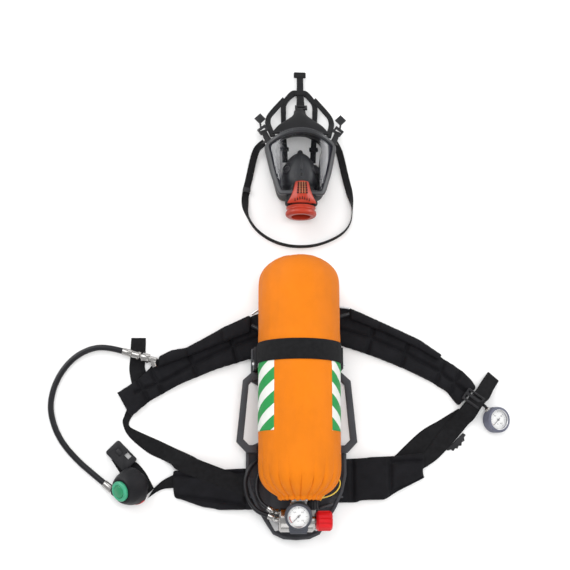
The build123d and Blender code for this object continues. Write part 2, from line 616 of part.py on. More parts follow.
def build_mask_harness():
    crown = slab([(-3, 482), (23, 482), (50, 455), (58, 430), (34, 430), (31, 448), (-9, 448),
                  (-14, 430), (-38, 430), (-28, 455)], 10, 13.5)
    tongue = slab([(4, 482), (4, 508), (-3, 508), (-3, 521), (23, 521), (23, 508), (18, 508),
                   (18, 482)], 10, 13)
    pieces = [crown + tongue]
    for side in (-1, 1):
        def across(x, y, z):
            return (MASK_X + 1 + side * (x - MASK_X - 1), y, z)

        arm = strap([
            (across(34, 430, 10), across(49, 430, 10)),
            (across(36, 404, 4), across(48, 404, 4)),
            (across(34, 372, 0.2), across(48, 372, 0.2)),
            (across(31, 318, 0.2), across(46, 318, 0.2)),
        ], thickness=3)
        temple = strap([
            (across(50, 448, 13.6), across(58, 430, 13.6)),
            (across(66, 420, 16), across(80, 416, 16)),
            (across(69, 398, 24), across(85, 396, 24)),
            (across(64, 372, 40), across(76, 376, 40)),
        ], thickness=2.2)
        pieces += [arm, temple]
    cross = slab([(-16, 318.2), (34, 318.2), (34, 302), (-16, 302)], 0.2, 3.2)
    pieces.append(cross)
    forehead = strap([((3, 447.8, 10), (20, 447.8, 10)), ((2, 428, 22), (21, 428, 22)),
                      ((2, 418.3, 30), (21, 418.3, 30))],
                     thickness=3.2)
    pieces.append(forehead)
    add("mask_head_harness", *pieces)

    buckles = [Pos(12, 434, 25.4) * Rot(-31, 0, 0) * (Box(26, 12, 4) - Box(17, 5, 6))]
    for side in (-1, 1):
        lever = Pos(MASK_X + 1 + side * 80, 374, 47) * Rot(0, 0, side * -38)
        lever *= Box(20, 14, 6) - Box(12, 5, 8)
        tab = Pos(MASK_X + 1 + side * 86, 400, 44) * Rot(0, 0, 45) * Box(17, 17, 2.4)
        link = rod((MASK_X + 1 + side * 84, 379, 46), (MASK_X + 1 + side * 86, 392, 44.5), 2)
        buckles += [lever + link + tab]
    slider = Pos(-103.5, 252, 7.5) * Rot(0, 0, -10) * (Box(16, 10, 12) - Box(9.4, 12, 9.2))
    add("mask_buckles", *buckles, slider)

    neck = [(-67, 352, 30), (-80, 346, 20), (-87, 331, 12), (-93, 305, 8), (-98, 279, 7.5),
            (-104, 254, 7.5)]
    neck += [(-107, 230, 7.5), (-105, 208, 7.5), (-98, 188, 7.5), (-85, 168, 7.5), (-66, 152, 7.5)]
    neck += [(-42, 139, 7.5), (-14, 131.5, 7.5), (15, 130, 7.5), (44, 133.5, 7.5), (71, 143, 7.5)]
    neck += [(96, 156, 7.5), (114, 174, 7.5), (122, 197, 7.5), (122, 224, 7.5), (117, 252, 7.5)]
    neck += [(110, 280, 7.5), (104, 306, 8), (98, 330, 12), (92, 345, 20), (84, 353, 30)]
    add("neck_strap", hose(neck, NECK_STRAP_R, "neck_strap"))


def build_drawstring():
    string = [(24, -392.5, 112), (36, -392, 104), (45, -391, 91), (55, -389, 75), (67, -385, 57)]
    string += [(80, -377, 41), (88, -364, 33), (86, -353, 33), (78, -353, 40), (69, -364, 53)]
    string += [(58, -378, 68), (48, -388, 80), (42, -396, 84)]
    add("drawstring", hose(string, DRAWSTRING_R, "drawstring"))


# ------------------------------------------------------------------ assembly
build_frame()
build_cylinder()
build_valve()
build_plate_hoses()
build_harness()
build_buckle()
inlet_at, inlet_direction = build_coupling()
build_demand_valve(inlet_at, inlet_direction)
build_chest_gauge()
build_mask()
build_mask_harness()
build_drawstring()

boxes = [
    solid.bounding_box() for name, solids in nodes.items() if name not in CORD_NODES for solid in solids
]
low = Vector(*[min(getattr(box.min, axis) for box in boxes) for axis in "XYZ"])
high = Vector(*[max(getattr(box.max, axis) for box in boxes) for axis in "XYZ"])
shift = Vector(-(low.X + high.X) / 2, -(low.Y + high.Y) / 2, -low.Z)
print("nodes", len(nodes), "size", high - low, "shift", shift)
for name, solids in nodes.items():
    moved = [Pos(*shift) * solid for solid in solids]
    export_step(moved[0] if len(moved) == 1 else Compound(moved), f"parts/{name}.step")
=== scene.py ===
import math
from contextlib import contextmanager

import bmesh
import bpy
from mathutils import Matrix, Vector, noise


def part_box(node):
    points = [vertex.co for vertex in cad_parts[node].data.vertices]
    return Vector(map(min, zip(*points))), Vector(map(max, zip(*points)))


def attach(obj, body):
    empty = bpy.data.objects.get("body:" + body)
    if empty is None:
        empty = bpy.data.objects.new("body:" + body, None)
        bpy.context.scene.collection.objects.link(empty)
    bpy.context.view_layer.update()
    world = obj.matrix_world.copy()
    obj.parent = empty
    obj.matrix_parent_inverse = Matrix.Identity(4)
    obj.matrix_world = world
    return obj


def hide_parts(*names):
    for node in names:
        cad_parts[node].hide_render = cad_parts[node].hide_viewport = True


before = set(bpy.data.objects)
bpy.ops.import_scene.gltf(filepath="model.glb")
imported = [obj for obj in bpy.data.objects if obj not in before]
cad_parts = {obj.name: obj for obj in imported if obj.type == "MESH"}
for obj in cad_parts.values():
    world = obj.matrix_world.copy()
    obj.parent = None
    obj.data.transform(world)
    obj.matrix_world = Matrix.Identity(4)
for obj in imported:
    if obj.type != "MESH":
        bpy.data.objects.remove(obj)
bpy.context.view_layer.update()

# The layout is the one that the parts were drawn in: metres from the pack's centre line
# and the floor, Y from the cylinder valve towards the mask, Z up.  The cylinder's box
# gives where that layout lies in the frame.
CYLINDER_HEAD_Y = 0.081
cylinder_low, cylinder_high = [Vector(corner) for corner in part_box("cylinder")]
ORIGIN = Vector(((cylinder_low.x + cylinder_high.x) / 2, cylinder_high.y - CYLINDER_HEAD_Y, 0.0))

CYLINDER_Z = 0.112
COVER_R = 0.080
BAND_Y = -0.114
BAND_WIDTH = 0.040
WEBBING = 0.0026
PAD_TOP = 0.015
OVER_PAD = 0.0153
SLEEVE_TOP = 0.027
MASK_X = 0.008
PORT_Z = 0.062
VISOR_AXIS_Z = -0.003
VISOR_R = 0.095


def spot(x, y, z=0.0):
    """A point of the layout in the frame."""
    return ORIGIN + Vector((x, y, z))


# ------------------------------------------------------------------ materials
# A wave texture of this scale divided by a pitch repeats every two pitches: a thread over and
# one under.
WAVE_SCALE = 0.157
# The visor's opacity (To) against the distance from the mask's centre line (From), in metres.
SMOKE = (("From Min", 0.036), ("From Max", 0.054), ("To Min", 0.03), ("To Max", 0.80))


class Shader:
    """A Principled material with helpers to hang procedural detail on it."""

    def __init__(self, name, colour, roughness, **sockets):
        self.material = bpy.data.materials.new(name)
        self.material.use_nodes = True
        self.tree = self.material.node_tree
        self.base = self.tree.nodes["Principled BSDF"]
        self.colour = colour
        self.base.inputs["Base Color"].default_value = (*colour, 1.0)
        self.base.inputs["Roughness"].default_value = roughness
        for socket, value in sockets.items():
            self.base.inputs[socket.replace("_", " ")].default_value = value
        self.height = None

    def add(self, kind, **settings):
        node = self.tree.nodes.new(kind)
        for key, value in settings.items():
            if key in node.inputs:
                node.inputs[key].default_value = value
            else:
                setattr(node, key, value)
        return node

    def link(self, out, into):
        self.tree.links.new(out, into)

    def place(self, uv=False, scale=(1, 1, 1), turn=0.0):
        """Coordinates in metres, on the object or along its own unrolled surface."""
        coords = self.add("ShaderNodeTexCoord")
        mapping = self.add("ShaderNodeMapping")
        mapping.inputs["Scale"].default_value = scale
        mapping.inputs["Rotation"].default_value = (0, 0, turn)
        self.link(coords.outputs["UV" if uv else "Object"], mapping.inputs["Vector"])
        return mapping.outputs["Vector"]

    def noise(self, scale, detail=3.0, rough=0.5, where=None):
        texture = self.add("ShaderNodeTexNoise", Scale=scale, Detail=detail, Roughness=rough)
        self.link(where or self.place(), texture.inputs["Vector"])
        return texture.outputs["Fac"]

    def math(self, operation, one, other):
        node = self.add("ShaderNodeMath", operation=operation)
        for socket, value in zip(node.inputs, (one, other)):
            if isinstance(value, (int, float)):
                socket.default_value = value
            else:
                self.link(value, socket)
        return node.outputs[0]

    def ramp(self, factor, stops):
        node = self.add("ShaderNodeValToRGB")
        elements = node.color_ramp.elements
        while len(elements) < len(stops):
            elements.new(0.5)
        for element, (position, colour) in zip(elements, stops):
            element.position = position
            element.color = (*colour, 1.0)
        self.link(factor, node.inputs["Fac"])
        return node.outputs["Color"]

    def vary(self, factor, low, high):
        """Base colour between two shades of the material's own colour."""
        dark = [c * low for c in self.colour]
        light = [min(c * high, 1) for c in self.colour]
        shades = [(0.3, dark), (0.7, light)]
        self.link(self.ramp(factor, shades), self.base.inputs["Base Color"])

    def rough(self, factor, low, high):
        node = self.add("ShaderNodeMapRange")
        node.inputs["To Min"].default_value = low
        node.inputs["To Max"].default_value = high
        self.link(factor, node.inputs["Value"])
        self.link(node.outputs["Result"], self.base.inputs["Roughness"])

    def relief(self, height, depth, strength=1.0):
        """Bump from a height, depth in metres.  Later calls stack on earlier ones."""
        bump = self.add("ShaderNodeBump", Strength=strength, Distance=depth)
        self.link(height, bump.inputs["Height"])
        if self.height:
            self.link(self.height, bump.inputs["Normal"])
        self.height = bump.outputs["Normal"]
        self.link(self.height, self.base.inputs["Normal"])

    def weave(self, pitch, depth, uv=False, turn=0.0):
        """Over-and-under threads: two crossed sets of waves."""
        where = self.place(uv, turn=turn)
        across = self.add("ShaderNodeTexWave", bands_direction="X", Scale=WAVE_SCALE / pitch)
        along = self.add("ShaderNodeTexWave", bands_direction="Y", Scale=WAVE_SCALE / pitch)
        for wave in (across, along):
            self.link(where, wave.inputs["Vector"])
        threads = self.math("MULTIPLY", across.outputs["Fac"], along.outputs["Fac"])
        self.relief(threads, depth)
        return threads


PLAIN = {
    # colour, roughness, specular level, then for shade, roughness and relief a noise
    # (scale, detail, roughness) with its amounts, then weave (pitch, depth, on the UVs, turn)
    # and other sockets
    "cover_cloth": (
        (0.69, 0.178, 0.003), 0.66, 0.18, ((9, 4, 0.6), 0.9, 1.08),
        ((30,), 0.56, 0.76), ((60, 3, 0.55), 0.0012, 0.5), (0.0006, 0.0001, True),
    ),
    "webbing_cloth": (
        (0.0062, 0.0062, 0.0072), 0.78, 0.2, ((120, 2, 0.5), 0.7, 1.35),
        None, None, (0.0011, 0.00035, True),
    ),
    "pad_cloth": (
        (0.0072, 0.0072, 0.0090), 0.86, 0.2, ((45, 4, 0.6), 0.75, 1.3),
        None, ((95, 3, 0.6), 0.0009, 0.45), (0.0009, 0.00025, False, 0.55),
    ),
    "carrier_plastic": (
        (0.036, 0.037, 0.043), 0.46, 0.4, ((22, 3), 0.85, 1.2),
        ((70,), 0.36, 0.56), ((900, 2, 0.6), 0.00015, 0.5),
    ),
    "black_plastic": (
        (0.012, 0.012, 0.014), 0.42, 0.35, ((40, 3), 0.8, 1.3),
        ((90,), 0.32, 0.52), ((1100, 2, 0.6), 0.0001, 0.5),
    ),
    "valve_black": (
        (0.008, 0.008, 0.010), 0.5, 0.22, ((30, 3), 0.85, 1.2), None, ((1300, 2, 0.7), 0.00012, 0.6),
    ),
    "gauge_rubber": ((0.046, 0.050, 0.064), 0.6, 0.5, ((50, 3), 0.85, 1.15), None, ((700, 2), 0.0001, 0.5)),
    "boot_rubber": ((0.105, 0.112, 0.155), 0.6, 0.5, ((50, 3), 0.85, 1.15), None, ((700, 2), 0.0001, 0.5)),
    "mask_rubber": (
        (0.0080, 0.0080, 0.0092), 0.55, 0.22, ((35, 3), 0.8, 1.25),
        ((60,), 0.45, 0.65), ((800, 2), 0.00012, 0.5),
    ),
    "nose_rubber": ((0.020, 0.021, 0.024), 0.5, 0.35, ((30, 3), 0.85, 1.2), None, ((500, 2), 0.0001, 0.4)),
    "hose_rubber": (
        (0.010, 0.010, 0.0125), 0.40, 0.25, ((60, 2), 0.85, 1.2), None, ((600, 2), 0.0001, 0.4),
    ),
    "nickel": (
        (0.42, 0.41, 0.40), 0.2, 0.5, ((60, 3), 0.93, 1.05),
        ((180, 3), 0.14, 0.3), ((420, 2), 0.00005, 0.4), None, {"Metallic": 1.0},
    ),
    "red_plastic": ((0.58, 0.006, 0.011), 0.36, 0.3, ((50, 3), 0.88, 1.08), None, ((700, 2), 0.00012, 0.5)),
    "mask_red": ((0.41, 0.034, 0.014), 0.34, 0.3, ((60, 3), 0.85, 1.08), None, ((700, 2), 0.0001, 0.5)),
    "green_plastic": (
        (0.018, 0.235, 0.105), 0.35, 0.4, ((60, 3), 0.9, 1.08), None, ((800, 2), 0.0001, 0.4),
    ),
    "green_ring": ((0.045, 0.34, 0.19), 0.35, 0.4, ((60, 3), 0.9, 1.08), None, ((800, 2), 0.0001, 0.4)),
    "dial_white": ((0.84, 0.84, 0.83), 0.45, 0.5, ((40, 2), 0.97, 1.02)),
    "dial_ink": ((0.02, 0.02, 0.025), 0.5, 0.5, ((200, 2), 0.8, 1.2)),
    # The mask's black rubber made three times lighter: a painted highlight for the light the visor rim
    # catches.
    "frame_rubber_painted_highlight": (
        (0.026, 0.027, 0.031), 0.42, 0.45, ((35, 3), 0.8, 1.25), None, ((800, 2), 0.00012, 0.5),
    ),
    "slot_edge": ((0.46, 0.24, 0.12), 0.5, 0.3, ((90, 2), 0.85, 1.1)),
    "yellow_cord": (
        (0.88, 0.62, 0.05), 0.6, 0.5, ((900, 2), 0.85, 1.1),
        None, ((1500, 2), 0.0002, 0.7), None, {"Sheen Weight": 0.2},
    ),
    # Painted shade: near-black for the insides of the port cover's slots, which are not cut.
    "slot_painted_shade": ((0.016, 0.008, 0.006), 0.6, 0.2, ((90, 2), 0.8, 1.2)),
    "cylinder_paint": ((0.70, 0.62, 0.25), 0.4, 0.5, ((12, 3), 0.9, 1.1)),
    "pale_floor": ((0.92, 0.92, 0.92), 0.75, 0.5, ((3, 2), 0.995, 1.005)),
}


def plain(name, colour, roughness, specular, shades=None, rough=None, relief=None, weave=None, sockets=()):
    """A material of one colour with noise in its shade, roughness and surface."""
    s = Shader(name, colour, roughness, **{"Specular IOR Level": specular}, **dict(sockets))
    for action, given in ((s.vary, shades), (s.rough, rough), (s.relief, relief)):
        if given:
            texture, *amounts = given
            action(s.noise(*texture), *amounts)
    if weave:
        s.weave(*weave)
    return s


def panel_cloth():
    """Green panel with broad white safety stripes."""
    s = Shader("panel_cloth", (0.02, 0.28, 0.07), 0.55, Specular_IOR_Level=0.2)
    split = s.add("ShaderNodeSeparateXYZ")
    s.link(s.place(uv=True), split.inputs["Vector"])
    along = s.math("MULTIPLY", split.outputs["Y"], 22.0)
    aside = s.math("MULTIPLY", split.outputs["X"], 13.0)
    slanted = s.math("ADD", along, aside)
    stripe = s.math("GREATER_THAN", s.math("FRACT", slanted, 0.0), 0.52)
    colours = s.ramp(stripe, [(0.45, (0.022, 0.29, 0.072)), (0.55, (0.78, 0.80, 0.76))])
    s.link(colours, s.base.inputs["Base Color"])
    s.weave(0.0006, 0.00008, uv=True)
    return s


def steel():
    s = Shader("steel", (0.66, 0.66, 0.67), 0.3, Metallic=1.0, Anisotropic=0.4)
    s.vary(s.noise(60, 3), 0.9, 1.06)
    s.relief(s.noise(1.0, 3, where=s.place(scale=(60, 900, 900))), 0.00006, 0.5)
    return s


def clear_lens():
    s = Shader("clear_lens", (0.98, 0.99, 1.0), 0.03, Alpha=0.1)
    s.rough(s.noise(40), 0.02, 0.06)
    return s


def visor_clear():
    """Clear sheet, a little smokier where it curves down at the two sides."""
    s = Shader("visor_clear", (0.035, 0.036, 0.048), 0.04, IOR=1.6)
    split = s.add("ShaderNodeSeparateXYZ")
    s.link(s.place(), split.inputs["Vector"])
    aside = s.math("ABSOLUTE", s.math("SUBTRACT", split.outputs["X"], spot(MASK_X, 0).x), 0.0)
    smoke = s.add("ShaderNodeMapRange")
    for socket, value in SMOKE:
        smoke.inputs[socket].default_value = value
    s.link(aside, smoke.inputs["Value"])
    s.link(smoke.outputs["Result"], s.base.inputs["Alpha"])
    s.rough(s.noise(14), 0.03, 0.08)
    return s


OWN_MAKERS = {maker.__name__: maker for maker in (panel_cloth, steel, clear_lens, visor_clear)}
MATERIALS = {}


def shade(name):
    """The material called name, made the first time it is asked for."""
    if name not in MATERIALS:
        made = OWN_MAKERS[name]() if name in OWN_MAKERS else plain(name, *PLAIN[name])
        MATERIALS[name] = made.material
    return MATERIALS[name]


# ------------------------------------------------------------------ mesh helpers
def show(obj, look, body, replaces=()):
    """Give a piece its material and its body, and hide the CAD parts it replaces."""
    obj.data.materials.clear()
    obj.data.materials.append(shade(look))
    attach(obj, body)
    if replaces:
        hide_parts(*replaces)
    return obj


def put(name, data):
    """A new object in the scene."""
    obj = bpy.data.objects.new(name, data)
    bpy.context.scene.collection.objects.link(obj)
    return obj


def evaluated_mesh(obj):
    """The mesh that an object's modifiers or curve settings make of it."""
    graph = bpy.context.evaluated_depsgraph_get()
    return bpy.data.meshes.new_from_object(obj.evaluated_get(graph))


@contextmanager
def edited(obj):
    """A bmesh of an object's mesh, written back at the end."""
    work = bmesh.new()
    work.from_mesh(obj.data)
    yield work
    work.to_mesh(obj.data)
    work.free()


def mesh_object(name, points, faces, uvs=None, smooth=True):
    mesh = bpy.data.meshes.new(name)
    mesh.from_pydata([tuple(p) for p in points], [], faces)
    if uvs:
        layer = mesh.uv_layers.new(name="UVMap")
        for loop in mesh.loops:
            layer.data[loop.index].uv = uvs[loop.vertex_index]
    mesh.polygons.foreach_set("use_smooth", [smooth] * len(mesh.polygons))
    return put(name, mesh)


def outward(obj):
    """Turn all faces to the outside."""
    with edited(obj) as work:
        bmesh.ops.recalc_face_normals(work, faces=work.faces)
    return obj


def grid(name, rows, ring=False, caps=False, uvs=None):
    """A surface through rows of points.  ring closes each row, caps closes the two ends."""
    count = len(rows[0])
    points = [p for row in rows for p in row]
    faces = []
    for r in range(len(rows) - 1):
        for c in range(count if ring else count - 1):
            d = (c + 1) % count
            faces.append((r * count + c, r * count + d, (r + 1) * count + d, (r + 1) * count + c))
    if caps:
        faces.append(tuple(range(count))[::-1])
        faces.append(tuple(range(len(points) - count, len(points))))
    return outward(mesh_object(name, points, faces, uvs))


def smooth_line(points, steps):
    """A Catmull-Rom curve through points, with steps samples to each stretch."""
    line = []
    for i in range(len(points) - 1):
        p0 = points[max(i - 1, 0)]
        p1, p2 = points[i], points[i + 1]
        p3 = points[min(i + 2, len(points) - 1)]
        for k in range(steps):
            t = k / steps
            line.append(0.5 * (
                2 * p1 + (p2 - p0) * t
                + (2 * p0 - 5 * p1 + 4 * p2 - p3) * t**2
                + (3 * p1 - p0 - 3 * p2 + p3) * t**3
            ))
    line.append(points[-1].copy())
    return line


def apply_modifiers(obj):
    """Replace the mesh by what its modifiers make of it."""
    made = evaluated_mesh(obj)
    obj.modifiers.clear()
    old = obj.data
    obj.data = made
    bpy.data.meshes.remove(old)
    return obj


def modified(obj, kind, **settings):
    """Put one modifier on a piece and apply it."""
    modifier = obj.modifiers.new(kind, kind)
    for key, value in settings.items():
        setattr(modifier, key, value)
    return apply_modifiers(obj)


def crease_normals(obj, degrees=35.0):
    """Smooth shading that keeps corners sharper than an angle."""
    obj.data.polygons.foreach_set("use_smooth", [True] * len(obj.data.polygons))
    obj.data.set_sharp_from_angle(angle=math.radians(degrees))
    return obj


def refined(name, node, width, look, body):
    """A CAD node's own shape with its edges rounded."""
    obj = put(name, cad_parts[node].data.copy())
    with edited(obj) as work:
        bmesh.ops.remove_doubles(work, verts=work.verts, dist=1e-6)
        bmesh.ops.dissolve_limit(work, angle_limit=math.radians(1.0), verts=work.verts, edges=work.edges)
    modified(obj, "BEVEL", width=width, segments=2, limit_method="ANGLE", angle_limit=math.radians(30),
             use_clamp_overlap=True, harden_normals=False)
    crease_normals(obj, 40)
    return show(obj, look, body, (node,))


def cross_frame(tangent, lead):
    """A side and an upright direction square to tangent, with side near lead."""
    side = (lead - tangent * lead.dot(tangent)).normalized()
    return side, tangent.cross(side).normalized()


def tube(name, line, radius, sides=20, caps=True):
    """A round tube along a line.  radius is a number or one for each point."""
    radii = radius if isinstance(radius, (list, tuple)) else [radius] * len(line)
    lead = Vector((0.13, 0.29, 0.95))
    rows = []
    uvs = []
    run = 0.0
    for i, point in enumerate(line):
        tangent = (line[min(i + 1, len(line) - 1)] - line[max(i - 1, 0)]).normalized()
        side, up = cross_frame(tangent, lead)
        lead = side
        run += (point - line[max(i - 1, 0)]).length
        row = []
        for k in range(sides):
            a = 2 * math.pi * k / sides
            row.append(point + (side * math.cos(a) + up * math.sin(a)) * radii[i])
            uvs.append((k / sides * 2 * math.pi * radii[i], run))
        rows.append(row)
    return grid(name, rows, ring=True, caps=caps, uvs=uvs)


def lathe(name, profile, origin, axis, sides=48, closed=True, lead=Vector((0, 0, 1))):
    """A turned piece: (radius, distance along the axis) points spun about the axis."""
    axis = Vector(axis).normalized()
    if abs(axis.dot(lead)) > 0.95:
        lead = Vector((1, 0, 0))
    side, up = cross_frame(axis, lead)
    rows = []
    for radius, distance in profile + (profile[:1] if closed else []):
        centre = origin + axis * distance
        ring_radius = max(radius, 1e-5)
        rows.append([
            centre + (side * math.cos(a) + up * math.sin(a)) * ring_radius
            for a in (2 * math.pi * k / sides for k in range(sides))
        ])
    return grid(name, rows, ring=True, caps=False)


def rounded_profile(points, radius, steps=3):
    """A closed (radius, distance) profile with its corners rounded, axis points left alone."""
    made = []
    count = len(points)
    for i, point in enumerate(points):
        here = Vector((*point, 0))
        before = Vector((*points[i - 1], 0))
        after = Vector((*points[(i + 1) % count], 0))
        reach = min(radius, (here - before).length * 0.45, (after - here).length * 0.45)
        if point[0] < 1e-6 or reach < 1e-6:
            made.append(point)
            continue
        start = here + (before - here).normalized() * reach
        end = here + (after - here).normalized() * reach
        for k in range(steps + 1):
            t = k / steps
            p = start * (1 - t) ** 2 + here * 2 * t * (1 - t) + end * t**2
            made.append((p.x, p.y))
    return made


def turned(name, profile, origin, axis, rounding=0.0006, sides=48):
    """A turned solid with softened corners."""
    obj = lathe(name, rounded_profile(profile, rounding), Vector(origin), axis, sides)
    with edited(obj) as work:
        bmesh.ops.remove_doubles(work, verts=work.verts, dist=3e-5)
        bmesh.ops.recalc_face_normals(work, faces=work.faces)
    return crease_normals(obj, 50)


def joined(name, objects):
    """Several meshes as one object."""
    work = bmesh.new()
    for obj in objects:
        obj.data.transform(obj.matrix_world)
        work.from_mesh(obj.data)
    mesh = bpy.data.meshes.new(name)
    work.to_mesh(mesh)
    work.free()
    for obj in objects:
        bpy.data.objects.remove(obj)
    return put(name, mesh)


def nurbs_line(points, fine=12):
    """Points along the smooth spline that has points as its control points."""
    curve = cord_curve("line_for_points", points, 0.0, fine)
    mesh = evaluated_mesh(curve)
    line = [v.co.copy() for v in mesh.vertices]
    bpy.data.meshes.remove(mesh)
    bpy.data.objects.remove(curve)
    return line


def cord_curve(name, points, radius, fine=12):
    """A cord: one smooth NURBS spline with its route's points as control points."""
    data = bpy.data.curves.new(name, "CURVE")
    data.dimensions = "3D"
    data.resolution_u = fine
    data.bevel_depth = radius
    data.bevel_resolution = 6
    data.use_fill_caps = radius > 0
    spline = data.splines.new("NURBS")
    spline.points.add(len(points) - 1)
    for target, point in zip(spline.points, points):
        target.co = (*point, 1.0)
    spline.order_u = 3
    spline.use_endpoint_u = True
    return put(name, data)


def chance(number):
    """A steady number between 0 and 1 for each whole number."""
    return math.sin(number * 12.9898 + 4.1) * 43758.5453 % 1.0


def line_length(line):
    return sum((b - a).length for a, b in zip(line, line[1:]))


# ------------------------------------------------------------------ stage, light, camera
# name, place, size, power, seen in reflections, seen by diffuse surfaces
LIGHTS = (
    ("key", (-1.3, 1.0, 2.2), 1.6, 22.0, True, True),
    ("fill", (1.8, 0.3, 1.9), 1.8, 12.0, True, True),
    ("front", (0.0, -2.3, 1.5), 1.6, 10.0, True, True),
    ("rim", (0.4, 2.4, 1.3), 1.2, 8.0, True, True),
    ("low_left", (-1.4, 0.78, 0.66), 0.7, 11.0, True, False),
    ("low_right", (1.4, 0.78, 0.66), 0.7, 11.0, True, False),
    ("overhead", (-0.1, -0.30, 2.6), 1.0, 28.0, False, True),
)
SKY_STRENGTH = 0.60
FLOOR_REACH = 30.0
FLOOR_Z = -0.0006
CAMERA_BACK = (-0.062, -0.208, 0.976)
CAMERA_DISTANCE = 2.25
CAMERA_LENS = 67.67


def build_stage():
    target = spot(-0.021, 0.049)
    back = Vector(CAMERA_BACK).normalized()
    right = Vector((0, 1, 0)).cross(back).normalized()
    up = back.cross(right)
    camera = put("camera", bpy.data.cameras.new("camera"))
    camera.data.sensor_width = 36.0
    camera.data.lens = CAMERA_LENS
    camera.data.clip_end = 50.0
    camera.matrix_world = Matrix((right, up, back)).transposed().to_4x4()
    camera.matrix_world.translation = target + back * CAMERA_DISTANCE
    bpy.context.scene.camera = camera

    corners = [(x * FLOOR_REACH, y * FLOOR_REACH, FLOOR_Z) for x, y in ((-1, -1), (1, -1), (1, 1), (-1, 1))]
    floor = mesh_object("floor", corners, [(0, 1, 2, 3)], smooth=False)
    floor.data.materials.append(shade("pale_floor"))

    world = bpy.data.worlds.new("world")
    world.use_nodes = True
    sky = world.node_tree.nodes["Background"]
    sky.inputs["Color"].default_value = (1.0, 1.0, 1.0, 1.0)
    sky.inputs["Strength"].default_value = SKY_STRENGTH
    bpy.context.scene.world = world
    bpy.context.scene.view_settings.view_transform = "Standard"
    for name, place, size, power, glossy, diffuse in LIGHTS:
        light = put(name, bpy.data.lights.new(name, "AREA"))
        light.data.size = size
        light.data.energy = power
        light.location = place
        light.visible_glossy = glossy
        light.visible_diffuse = diffuse
        light.rotation_euler = (Vector((0, 0, 0)) - Vector(place)).to_track_quat("-Z", "Y").to_euler()


# ------------------------------------------------------------------ cords
HOSE_ROUTE = [
    (-0.353, -0.097, 0.018), (-0.3904, -0.0862, 0.0153), (-0.431, -0.095, 0.009), (-0.464, -0.120, 0.0063),
    (-0.488, -0.160, 0.0063), (-0.497, -0.206, 0.0063), (-0.488, -0.246, 0.0063), (-0.469, -0.282, 0.0063),
    (-0.438, -0.316, 0.007), (-0.404, -0.344, 0.012), (-0.381, -0.362, 0.018),
]
NECK_ROUTE = [
    (-0.067, 0.352, 0.030), (-0.080, 0.346, 0.020), (-0.087, 0.331, 0.012), (-0.093, 0.305, 0.007),
    (-0.098, 0.279, 0.0045), (-0.104, 0.254, 0.004), (-0.107, 0.230, 0.005), (-0.105, 0.208, 0.0075),
    (-0.098, 0.188, 0.0077), (-0.085, 0.168, 0.0077), (-0.066, 0.152, 0.0077), (-0.042, 0.139, 0.0077),
    (-0.014, 0.1315, 0.0077), (0.015, 0.130, 0.0077), (0.044, 0.1335, 0.0077), (0.071, 0.143, 0.0077),
    (0.096, 0.156, 0.0077), (0.114, 0.174, 0.0077), (0.122, 0.197, 0.0075), (0.122, 0.224, 0.0055),
    (0.117, 0.252, 0.0045), (0.110, 0.280, 0.0045), (0.104, 0.306, 0.007), (0.098, 0.330, 0.012),
    (0.092, 0.345, 0.020), (0.084, 0.353, 0.030),
]
STRING_ROUTE = [
    (0.024, -0.3925, 0.112), (0.036, -0.392, 0.104), (0.045, -0.391, 0.091), (0.055, -0.389, 0.075),
    (0.067, -0.385, 0.057), (0.080, -0.377, 0.041), (0.088, -0.364, 0.033), (0.086, -0.353, 0.033),
    (0.078, -0.353, 0.040), (0.069, -0.364, 0.053), (0.058, -0.378, 0.068), (0.048, -0.388, 0.080),
    (0.042, -0.396, 0.084),
]
NECK_STRAP_WIDTH = 0.015
NECK_STRAP_THICKNESS = 0.0016
# The shares of its length between which the neck strap lies on edge.
TWIST_START = 0.21
TWIST_END = 0.84


def twist_at(share):
    """How far the neck strap is turned on edge at a share of its length: 0 flat, 1 upright."""
    rise = min(max((share - TWIST_START) / 0.08, 0), 1)
    fall = min(max((TWIST_END - share) / 0.10, 0), 1)
    turn = min(rise, fall)
    return turn * turn * (3 - 2 * turn)


def build_cords():
    ferrules = refined("hose_ferrules", "hose_end_ferrules", 0.0006, "nickel", "pack")
    hose = cord_curve("demand_hose", [spot(*p) for p in HOSE_ROUTE], 0.006)
    show(hose, "hose_rubber", "pack", ("demand_valve_hose",))

    line = nurbs_line([spot(*p) for p in NECK_ROUTE], 4)
    rows = []
    uvs = []
    total = line_length(line)
    run = 0.0
    half = NECK_STRAP_WIDTH / 2
    flat = half * 0.97
    section = [(-half, -0.4), (-flat, -1), (flat, -1), (half, -0.4),
               (half, 0.4), (flat, 1), (-flat, 1), (-half, 0.4)]
    for i, point in enumerate(line):
        tangent = (line[min(i + 1, len(line) - 1)] - line[max(i - 1, 0)]).normalized()
        run += (point - line[max(i - 1, 0)]).length
        level = Vector((0, 0, 1)).cross(tangent).normalized()
        upright = tangent.cross(level)
        turn = twist_at(run / total) * math.radians(84)
        across = level * math.cos(turn) + upright * math.sin(turn)
        face = tangent.cross(across)
        row = [point + across * a + face * (b * NECK_STRAP_THICKNESS / 2) for a, b in section]
        lift = max(0.0, 0.0003 - min(p.z for p in row))
        rows.append([p + Vector((0, 0, lift)) for p in row])
        uvs += [(a, run) for a, b in section]
    strap = grid("neck_strap_webbing", rows, ring=True, caps=True, uvs=uvs)
    crease_normals(strap, 50)
    show(strap, "webbing_cloth", "mask", ("neck_strap",))

    string = cord_curve("cover_drawstring", [spot(*p) for p in STRING_ROUTE], 0.00125)
    show(string, "yellow_cord", "pack", ("drawstring",))


